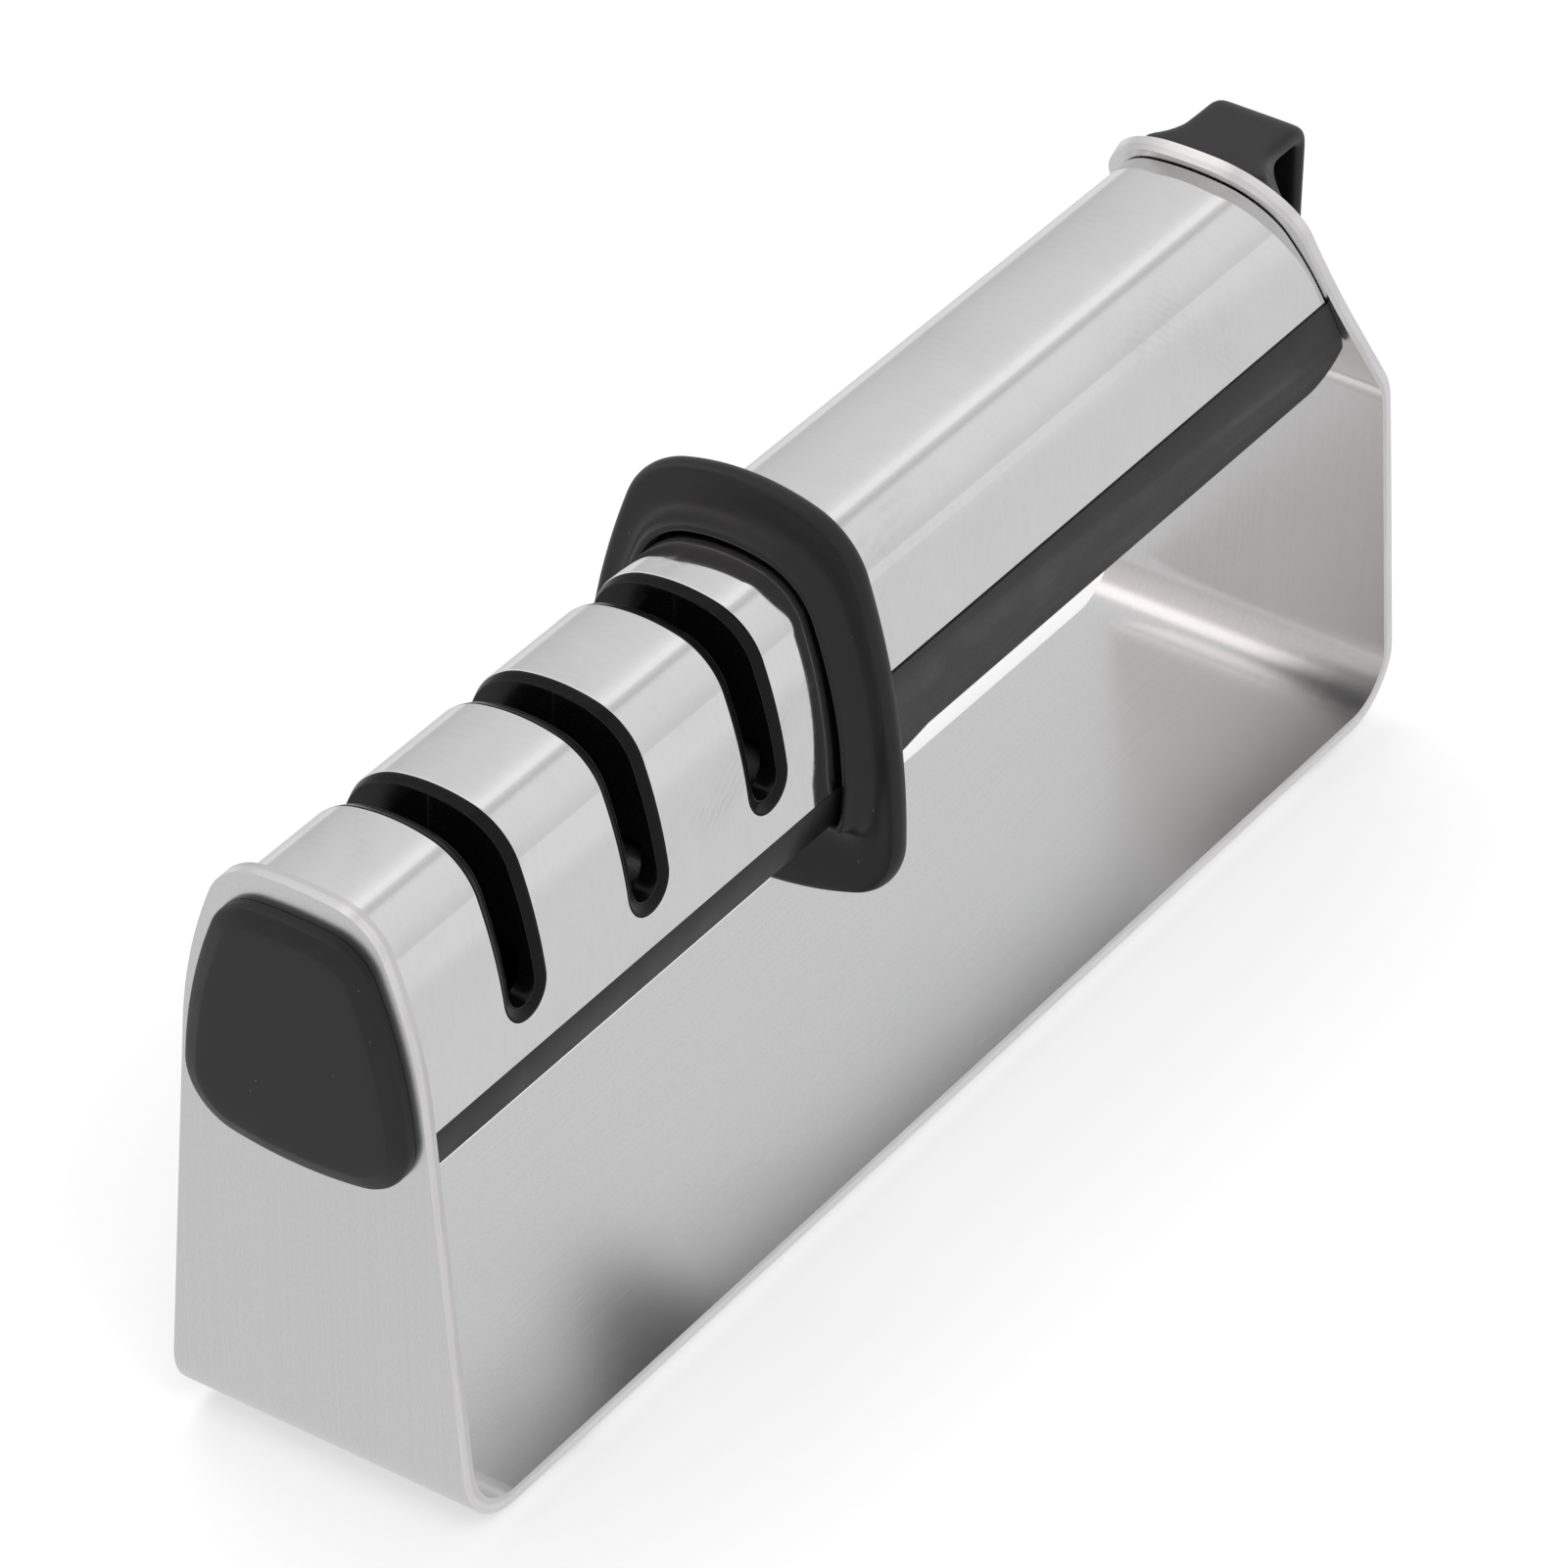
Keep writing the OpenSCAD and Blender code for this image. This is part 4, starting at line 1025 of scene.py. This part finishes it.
class SHARPENER_OT_head(SharpenerOperator):
    """Form the slotted head shell and the chamfered rims of its slots"""

    bl_idname = "sharpener.head"
    bl_label = "Head Shell"

    def section(self, head):
        """The head's section with points round the slots' lower ends"""
        heights = slot_heights(head) + [head.slot_low - step for step in EDGE_STEPS[1:]]
        return shell_section(head.top, HEAD_ARCS, head.shell_low, heights)

    def rim(self, head, number, middle):
        """A black rim whose chamfer falls from the metal's edge to the clear slot"""
        section = [(p, out) for p, out in self.section(head) if p.y >= head.slot_low - 1e-7]
        path = []
        for side in (-1, 1):
            run = section if side < 0 else list(reversed(section))[1:-1]
            for p, out in run:
                w = slot_half(head, p.y)
                along = downward(p, out)
                radius = head.slot_w / 2
                rise = max(head.slot_low + radius - p.y, 0)
                into = Vector((-side * w, -along.x * rise, -along.y * rise)).normalized()
                path.append((Vector((middle + side * w, p.x, p.y)), into, Vector((0, out.x, out.y))))
        rings = [
            [place(*(where + into * u * MM - out * d * MM)) for u, d in RIM_PROFILE] for where, into, out in path
        ]
        rim = rings_solid(f"slot_rim_{number}", rings)
        smooth(rim, 24)
        dress(rim, finish("slot_lining"))

    def build(self, scene):
        head, stand = scene.sharpener_head, scene.sharpener_stand
        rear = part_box("head_shell")[1].x - ORIGIN_X
        seat = FIT / math.cos(stand.splay)
        polished_shell(
            "head_shell", self.section(head), lambda y: (front_inner_x(stand, y) + seat, rear), head.shell_low,
            head.shell_t, head,
        )
        for number, middle in enumerate(slot_places(head), 1):
            self.rim(head, number, middle)


class SHARPENER_OT_handle(SharpenerOperator):
    """Form the polished handle shell"""

    bl_idname = "sharpener.handle"
    bl_label = "Handle Shell"

    def build(self, scene):
        handle, stand, head = scene.sharpener_handle, scene.sharpener_stand, scene.sharpener_head
        section = shell_section(handle.top, HANDLE_ARCS, handle.shell_low)
        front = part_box("handle_shell")[0].x - ORIGIN_X
        gap = handle.end_gap / math.cos(stand.rear_lean)
        polished_shell(
            "handle_shell", section, lambda y: (front, rear_inner_x(stand, y) - gap), handle.shell_low, head.shell_t
        )


class SHARPENER_OT_body(SharpenerOperator):
    """Soften the edges of the moulded body's two halves"""

    bl_idname = "sharpener.body"
    bl_label = "Moulded Body"

    def build(self, scene):
        for node in ("core_left", "core_right"):
            half = from_cad(node)
            bevel(half, scene.sharpener_small.break_w, 2, 40)
            settle(half)
            half.data.materials.clear()
            half.data.materials.append(finish("black_plastic"))
            # Faces in the slots and the chambers under the head shell take the darker lining black: painted shade in
            # those recesses
            half.data.materials.append(finish("slot_lining"))
            for polygon in half.data.polygons:
                if self.inside(scene, polygon.center):
                    polygon.material_index = 1
            dress(half, None, STAND, (node,))

    def inside(self, scene, spot):
        """Whether a spot lies in the slots or the chambers under the head shell, where the darker lining black is
        painted shade
        """
        head = scene.sharpener_head
        x, z = spot.x - ORIGIN_X, spot.z - ORIGIN_Z
        skin = chain_to(head.top, HEAD_ARCS, head.slot_low - head.slot_w, head.shell_t + 0.4 * MM)
        return x < scene.sharpener_guard.face_x and z > head.shell_low and abs(spot.y) < width_at(skin, z)


def evenly(line, count):
    """Points at equal steps along a line of points and directions"""
    runs = [0.0]
    for (a, _), (b, _) in zip(line, line[1:]):
        runs.append(runs[-1] + max((b - a).length, 1e-9))
    result, k = [], 0
    for i in range(count):
        want = runs[-1] * i / (count - 1)
        while k < len(line) - 2 and runs[k + 1] < want:
            k += 1
        t = (want - runs[k]) / (runs[k + 1] - runs[k])
        (a, out_a), (b, out_b) = line[k], line[k + 1]
        result.append((a.lerp(b, t), out_a.lerp(out_b, t).normalized()))
    return result


# The guard's fillet from its flange to its collar, in millimetres outward from the neck and forward
COLLAR_FILLET = (
    (3.3, 0.03), (2.8, 0.2), (2.35, 0.52), (1.95, 0.98), (1.65, 1.5), (1.4, 2.05), (1.2, 2.5), (1.02, 2.78),
    (0.8, 2.94), (0.55, 3.0), (0.3, 2.95), (0.1, 2.78), (0.0, 2.5),
)
# Height under which the collar's gap widens, how far down it still does, and degrees of the lip's slope
GAP_HIGH, GAP_RANGE = 76 * MM, 14 * MM
LIP_LEAN = 4
HALF_RING_POINTS = 121


class SHARPENER_OT_guard(SharpenerOperator):
    """Mould the dished finger guard round the head's neck"""

    bl_idname = "sharpener.guard"
    bl_label = "Finger Guard"

    def neck(self, scene, count):
        """Outline of the head with its lip, with fanned directions at the lip's corners"""
        head, guard = scene.sharpener_head, scene.sharpener_guard
        half = chain_to(head.top, HEAD_ARCS, head.shell_low)
        edge = half[-1][0]
        inward = (head.shell_low - guard.lip_low) * math.tan(math.radians(LIP_LEAN))
        corner = Vector((edge.x - inward, guard.lip_low))
        line = half + [(edge, heading(89.75)), (corner, heading(90 + LIP_LEAN))]
        line += [(corner, heading(deg)) for deg in range(105, 180, 11)]
        line += [(corner, heading(180)), (Vector((0, guard.lip_low)), heading(180))]
        reach = 2.4 * MM
        spread = [(p + out * reach, out) for p, out in line]
        return [(p - out * reach, out) for p, out in evenly(spread, count)]

    def build(self, scene):
        guard = scene.sharpener_guard
        rim_line = evenly(chain(guard.top, closed_arcs(guard.top, GUARD_ARCS)), HALF_RING_POINTS)
        neck_line = self.neck(scene, HALF_RING_POINTS)
        edge = guard.flange_t / 2
        front, back = guard.face_x, guard.face_x + guard.flange_t
        middle = guard.face_x + edge
        close, open_gap = guard.collar_gap, guard.collar_open

        def gap_at(p):
            """The collar hugs the head's top and stands off its lower sides"""
            share = min(max((GAP_HIGH - p.y) / GAP_RANGE, 0.0), 1.0)
            return close + (open_gap - close) * share * share * (3 - 2 * share)

        def rim(inset, x):
            return [(p - out * inset, x) for p, out in rim_line]

        def neck(grow, x, share=1.0):
            return [(p + out * (gap_at(p) * share + grow), x) for p, out in neck_line]

        def between(share, x):
            return [(a.lerp(b, share), x) for (a, _), (b, _) in zip(rim(soft, x), neck(3.6 * MM, x))]

        soft = 1.1 * MM
        halves = [neck(FIT, front + 0.4 * MM, 0.0), neck(FIT, back, 0.0)]
        halves += [between(share, back) for share in (0.9, 0.5, 0.15)]
        for k in range(13):
            turn = math.radians(90 - 15 * k)
            halves.append(rim(soft * (1 - math.cos(turn)), middle + edge * math.sin(turn)))
        halves += [between(share, front) for share in (0.25, 0.5, 0.75)]
        halves += [neck(grow * MM, front - rise * MM) for grow, rise in COLLAR_FILLET]
        halves += [neck(0, front - 0.2 * MM), neck(0, front + 0.3 * MM, 0.7)]
        rings = [mirrored_ring([(x, p.x, p.y) for p, x in half]) for half in halves]
        piece = rings_solid("guard_piece", rings)
        smooth(piece, 50)
        dress(piece, finish("black_plastic"), STAND, ("guard",))


# The cap's edge and chamfer, in millimetres inward from its outline and out from the leg
CAP_PROFILE = (
    (0.0, 0.05), (0.0, 1.0), (0.05, 1.3), (0.18, 1.52), (0.4, 1.68), (1.1, 2.0), (1.9, 2.3), (2.2, 2.41), (2.35, 2.44),
    (2.5, 2.455), (3.4, 2.48), (5.5, 2.5),
)


class SHARPENER_OT_cap(SharpenerOperator):
    """Mould the soft edged front cap"""

    bl_idname = "sharpener.cap"
    bl_label = "Front Cap"

    def outline(self, cap):
        """Right half of the cap's outline from the top to the bottom middle, and its directions"""
        inset = cap.inset
        line = chain_to(cap.top + inset, LEG_ARCS, cap.low, inset)
        bow = math.degrees(cap.bow)
        (low, out), lean = line[-1], LEG_ARCS[-1][1]
        rise = cap.low + cap.corner_r - low.y
        corner = Vector((low.x - (cap.corner_r + rise * out.y) / out.x, cap.low + cap.corner_r))
        bow_r = cap.corner_r + corner.x / math.sin(cap.bow)
        centre = corner - (bow_r - cap.corner_r) * heading(180 - bow)
        line = [(p, out) for p, out in line if p.y > corner.y + 1.5 * MM]
        for k in range(25):
            out = heading(lean + (180 - bow - lean) * k / 24)
            line.append((corner + cap.corner_r * out, out))
        for k in range(1, 13):
            out = heading(180 - bow + bow * k / 12)
            line.append((centre + bow_r * out, out))
        return line

    def build(self, scene):
        cap, stand = scene.sharpener_cap, scene.sharpener_stand
        line = self.outline(cap)
        tilt = Matrix.Rotation(-stand.splay, 3, "Y")
        rings = []
        for inset, rise in CAP_PROFILE:
            out_x = -rise * MM * cap.proud / (CAP_PROFILE[-1][1] * MM)
            half = [tilt @ Vector((out_x, p.x - n.x * inset * MM, p.y - n.y * inset * MM)) for p, n in line]
            half[0].y = half[-1].y = 0
            rings.append(mirrored_ring(half))
        piece = rings_solid("front_cap_piece", rings, True)
        smooth(piece, 40)
        dress(piece, finish("black_plastic"), STAND, ("front_cap",))


class SHARPENER_OT_loop(SharpenerOperator):
    """Mould the soft hang loop"""

    bl_idname = "sharpener.loop"
    bl_label = "Hang Loop"

    def build(self, scene):
        piece = from_cad("hang_loop")
        small = scene.sharpener_small
        modify(piece, "soft_form", "REMESH", mode="VOXEL", voxel_size=small.voxel)
        modify(piece, "relaxed", "SMOOTH", factor=0.5, iterations=60)
        modify(piece, "swollen", "DISPLACE", mid_level=0, strength=small.swell)
        settle(piece)
        piece.data.shade_smooth()
        dress(piece, finish("black_plastic"), STAND, ("hang_loop",))


# Places of the hidden screws: shares of the handle's length, heights on the front leg, height over the rear
# leg's bend, and how far those in pairs sit from the middle
HANDLE_SHARES = (0.16, 0.45, 0.74)
FRONT_HEIGHTS, FRONT_ASIDE = (60 * MM, 75 * MM), 6 * MM
REAR_RISE, REAR_ASIDE = 23 * MM, 3.4 * MM
SCREW_HEAD_R = 2.4 * MM


class SHARPENER_OT_screws(SharpenerOperator):
    """Set the hidden screws in their rows"""

    bl_idname = "sharpener.screws"
    bl_label = "Screws"

    def screw(self, shank_r, head_r, head_t, reach):
        """A plain pan head screw with a socket, its head upward from zero"""
        return lathe(
            "screw_turned",
            (
                (0, -reach), (shank_r * 0.5, -reach), (shank_r, -reach + shank_r * 0.6), (shank_r, 0),
                (head_r, 0), (head_r, head_t * 0.55), (head_r * 0.86, head_t * 0.9), (head_r * 0.66, head_t),
                (head_r * 0.42, head_t), (head_r * 0.36, head_t * 0.45), (0, head_t * 0.4),
            ),
            32,
        )

    def build(self, scene):
        stand = scene.sharpener_stand
        for node, shank_r, head_t, reach, places in (
            ("core_screws", 1.25, 1.4, 17.8, self.core_places(scene)),
            ("front_leg_screws", 1.35, 1.2, 7, self.front_places(stand)),
            ("rear_leg_screws", 1.35, 1.2, 7, self.rear_places(stand)),
        ):
            turned = self.screw(shank_r * MM, SCREW_HEAD_R, head_t * MM, reach * MM)
            repeated(node, turned, places, "screw_steel")

    def core_places(self, scene):
        """Screws along Y, with their heads on the right half"""
        head, guard, stand = scene.sharpener_head, scene.sharpener_guard, scene.sharpener_stand
        back = guard.face_x + guard.flange_t
        xs = [slot + head.slot_pitch / 2 for slot in slot_places(head)[:2]]
        xs += [back + share * (stand.base_len - back) for share in HANDLE_SHARES]
        low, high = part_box("core_screws")
        height = (low.z + high.z) / 2 - ORIGIN_Z
        return [(place(x, high.y - 1.4 * MM, height), (-math.pi / 2, 0, 0)) for x in xs]

    def front_places(self, stand):
        """Screws through the front leg, their heads forward"""
        tilt = Matrix.Rotation(-stand.splay, 3, "Y")
        places = []
        for side in (-1, 1):
            for height in FRONT_HEIGHTS:
                spot = tilt @ Vector((-FIT, side * FRONT_ASIDE, height))
                places.append((place(*spot), (0, -math.pi / 2 - stand.splay, 0)))
        return places

    def rear_places(self, stand):
        """Screws through the slanted rear leg, their heads backward"""
        height = stand.kink_h + REAR_RISE
        x = kink_x(stand) - (height - stand.kink_h) * math.tan(stand.rear_lean)
        out = Vector((math.cos(stand.rear_lean), 0, math.sin(stand.rear_lean))) * FIT
        turn = (0, math.pi / 2 - stand.rear_lean, 0)
        return [(place(x, side * REAR_ASIDE, height) + out, turn) for side in (-1, 1)]


class SHARPENER_OT_stages(SharpenerOperator):
    """Build the sharpening stages inside the head"""

    bl_idname = "sharpener.stages"
    bl_label = "Sharpening Stages"

    def build(self, scene):
        small = scene.sharpener_small
        for stage, slot in (("diamond", "diamond_coat"), ("ceramic", "dark_ceramic")):
            for side, count in (("front", small.wheel_count_front), ("rear", small.wheel_count_rear)):
                self.lay(f"{stage}_wheels_{side}", slot, partial(self.pack, small, count), 64, f"{stage}_{side}")
                self.lay(f"{stage}_axle_{side}", "screw_steel", partial(self.axle, small))
        for node, slot, width in (
            ("carbide_holder", "black_plastic", 0.15), ("carbide_blade_front", "carbide", 0.05),
            ("carbide_blade_rear", "carbide", 0.05), ("carbide_screw", "screw_steel", 0.12),
        ):
            piece = from_cad(node)
            bevel(piece, width * MM, 2, 40)
            settle(piece)
            dress(piece, finish(slot), STAND, (node,))

    def lay(self, node, slot, profile, sides=48, body=STAND):
        """Turns a profile made for half the node's length and lays it along Y in the node's place"""
        low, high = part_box(node)
        turned = lathe(node + "_turned", profile((high.y - low.y) / 2), sides)
        where = Vector(((low.x + high.x) / 2, 0, (low.z + high.z) / 2))
        repeated(node, turned, [(where, (-math.pi / 2, 0, 0))], slot, body)

    def axle(self, small, half):
        """Profile of an axle"""
        return rod_profile(small.axle_r, -half, half, 0.25 * MM)

    def pack(self, small, count, half):
        """Profile of a hub with its wheels in a row, bored for the axle"""
        bore, hub, wheel, cut = small.axle_r + FIT, small.hub_r, small.wheel_r, 0.12 * MM
        profile = [(bore, -half), (hub - cut, -half), (hub, -half + cut)]
        for k in range(count):
            middle = (k - (count - 1) / 2) * small.wheel_pitch
            near, far = middle - small.wheel_t / 2, middle + small.wheel_t / 2
            profile += [
                (hub, near), (wheel - cut, near), (wheel, near + cut), (wheel, far - cut), (wheel - cut, far),
                (hub, far),
            ]
        return profile + [(hub, half - cut), (hub - cut, half), (bore, half), (bore, -half)]


# Fit of the camera to the photograph: azimuth, elevation and roll, then lengths in its pixels
VIEW_ANGLES = (-56.82, 35.92, 1.258)
PHOTO_PIXELS = 1601
FOCAL_PIXELS = 8825
SHIFT_PIXELS = (-38.28, -1.41)
VIEW_TARGET = Vector((0.001744, 0, 0.0395))
VIEW_DISTANCE = 1.0443


class SHARPENER_OT_stage(SharpenerOperator):
    """Lay the floor and set the lights and the camera"""

    bl_idname = "sharpener.stage"
    bl_label = "Studio"

    def floor(self, scene):
        """A plain floor that is white to the camera and keeps the shadow; to reflections it glows at a set level,
        darkened near the stand as painted shade
        """
        half = 2.5
        floor = mesh_object(
            "floor", [(-half, -half, 0), (half, -half, 0), (half, half, 0), (-half, half, 0)], [[0, 1, 2, 3]]
        )
        material = bpy.data.materials.new("pale_floor")
        material.use_nodes = True
        w = Wiring(material.node_tree)
        w.tree.nodes.clear()
        white = w.add("ShaderNodeEmission")
        shade = w.add("ShaderNodeBsdfDiffuse", (1.12, 1.12, 1.12))
        plain = w.add("ShaderNodeBsdfDiffuse", tuple(scene.sharpener_colours.floor))
        away = w.add(
            "ShaderNodeVectorMath", w.add("ShaderNodeTexCoord", out="Object"), out="Value", operation="LENGTH"
        )
        # The floor seen in reflections glows at a level that falls toward the stand: painted shade
        level = w.remap(away, FLOOR_SHADE_NEAR[0], FLOOR_SHADE_FAR[0], FLOOR_SHADE_NEAR[1], FLOOR_SHADE_FAR[1], "SMOOTHSTEP")
        reflected_floor_painted_shade = w.add("ShaderNodeEmission", sockets={"Strength": level})
        self.by_ray(w, plain, reflected_floor_painted_shade, w.add("ShaderNodeMixShader", 0.55, white, shade), "Material")
        floor.data.materials.append(material)

    def by_ray(self, w, plain, glossy, seen, kind):
        """Shows one shader to the camera, one to glossy rays and one to all others"""
        first = w.add("ShaderNodeMixShader", w.add("ShaderNodeLightPath", out="Is Glossy Ray"), plain, glossy)
        last = w.add("ShaderNodeMixShader", w.add("ShaderNodeLightPath", out="Is Camera Ray"), first, seen)
        w.add("ShaderNodeOutput" + kind, last)

    def world(self, scene):
        """A studio for reflections round an even dome, white behind the object"""
        scene.world = bpy.data.worlds.new("studio")
        scene.world.use_nodes = True
        w = Wiring(scene.world.node_tree)
        w.tree.nodes.clear()
        split = w.add("ShaderNodeSeparateXYZ", w.add("ShaderNodeTexCoord", out="Generated")).node
        x, y, z = split.outputs
        share = w.remap(w.math("ARCTAN2", y, z), -math.pi, math.pi, 1, 0)
        panels = w.add("ShaderNodeValToRGB", share)
        stops = panels.node.color_ramp.elements
        for stop, (_, level) in zip(stops, (PANELS[0], PANELS[-1])):
            stop.color = (level, level, level, 1)
        for deg, level in PANELS[1:-1]:
            stops.new(deg / 360 + 0.5).color = (level, level, level, 1)
        warm = w.remap(x, -0.1, -0.5, curve="SMOOTHSTEP")
        spot = w.times(
            w.times(w.remap(x, -0.02, -0.2, curve="SMOOTHSTEP"), w.remap(x, -0.42, -0.56, 1, 0, "SMOOTHSTEP")),
            w.remap(y, 0.12, 0.34, curve="SMOOTHSTEP"),
        )
        tinted = w.mix_colour(warm, panels, WARM_SIDE, "MULTIPLY")
        glossy = w.add("ShaderNodeBackground", w.mix_colour(spot, tinted, REAR_SOFTBOX))
        dome = w.add("ShaderNodeBackground", (1, 1, 1), DOME_LEVEL)
        self.by_ray(w, dome, glossy, w.add("ShaderNodeBackground"), "World")

    def light(self, name, where, target, width, height, power):
        """A softbox that no reflection shows"""
        data = bpy.data.lights.new(name, "AREA")
        data.shape = "RECTANGLE"
        data.size, data.size_y = width, height
        data.energy = power
        lamp = new_object(name, data)
        lamp.location = where
        lamp.rotation_euler = (Vector(target) - Vector(where)).to_track_quat("-Z", "Y").to_euler()
        lamp.visible_glossy = False

    def camera(self, scene):
        """The camera at the photograph's angle, distance and framing"""
        az, el, roll = (math.radians(deg) for deg in VIEW_ANGLES)
        back = Vector((math.sin(az) * math.cos(el), -math.cos(az) * math.cos(el), math.sin(el)))
        right = Vector((0, 0, 1)).cross(back).normalized()
        up = back.cross(right)
        right_turned = math.cos(roll) * right + math.sin(roll) * up
        up_turned = math.cos(roll) * up - math.sin(roll) * right
        data = bpy.data.cameras.new("camera")
        data.sensor_width = 36
        data.lens = FOCAL_PIXELS / PHOTO_PIXELS * 36
        data.shift_x, data.shift_y = (shift / PHOTO_PIXELS for shift in SHIFT_PIXELS)
        data.clip_end = 50
        scene.camera = new_object("camera", data)
        turn = Matrix((right_turned, up_turned, back)).transposed()
        scene.camera.matrix_world = Matrix.Translation(VIEW_TARGET + back * VIEW_DISTANCE) @ turn.to_4x4()

    def build(self, scene):
        self.floor(scene)
        self.world(scene)
        self.light("key_softbox", (-0.7, -0.9, 1.3), (0, 0, 0.05), 1.0, 0.8, 9)
        self.light("top_softbox", (0.5, 0.7, 1.5), (0, 0, 0.05), 1.2, 0.7, 8)
        self.camera(scene)
        scene.view_settings.view_transform = "Standard"


class SHARPENER_PT_panel(bpy.types.Panel):
    """The sharpener's builders, in their order"""

    bl_idname = "SHARPENER_PT_panel"
    bl_label = "Knife Sharpener"
    bl_space_type = "VIEW_3D"
    bl_region_type = "UI"
    bl_category = "Sharpener"

    def draw(self, context):
        for builder in BUILDERS:
            self.layout.operator(builder.bl_idname)


BUILDERS = (
    SHARPENER_OT_stand, SHARPENER_OT_feet, SHARPENER_OT_body, SHARPENER_OT_head, SHARPENER_OT_handle,
    SHARPENER_OT_guard, SHARPENER_OT_cap, SHARPENER_OT_loop, SHARPENER_OT_screws, SHARPENER_OT_stages,
    SHARPENER_OT_stage,
)
GROUPS = {
    "sharpener_stand": StandSizes,
    "sharpener_head": HeadSizes,
    "sharpener_handle": HandleSizes,
    "sharpener_guard": GuardSizes,
    "sharpener_cap": CapSizes,
    "sharpener_small": SmallSizes,
    "sharpener_colours": FinishColours,
}


def register():
    for group in GROUPS.values():
        bpy.utils.register_class(group)
    for name, group in GROUPS.items():
        setattr(bpy.types.Scene, name, PointerProperty(type=group))
    for builder in BUILDERS:
        bpy.utils.register_class(builder)
    bpy.utils.register_class(SHARPENER_PT_panel)


def unregister():
    bpy.utils.unregister_class(SHARPENER_PT_panel)
    for builder in reversed(BUILDERS):
        bpy.utils.unregister_class(builder)
    for name in GROUPS:
        delattr(bpy.types.Scene, name)
    for group in reversed(list(GROUPS.values())):
        bpy.utils.unregister_class(group)


def main():
    register()
    for builder in BUILDERS:
        space, name = builder.bl_idname.split(".")
        getattr(getattr(bpy.ops, space), name)()


if __name__ == "__main__":
    main()
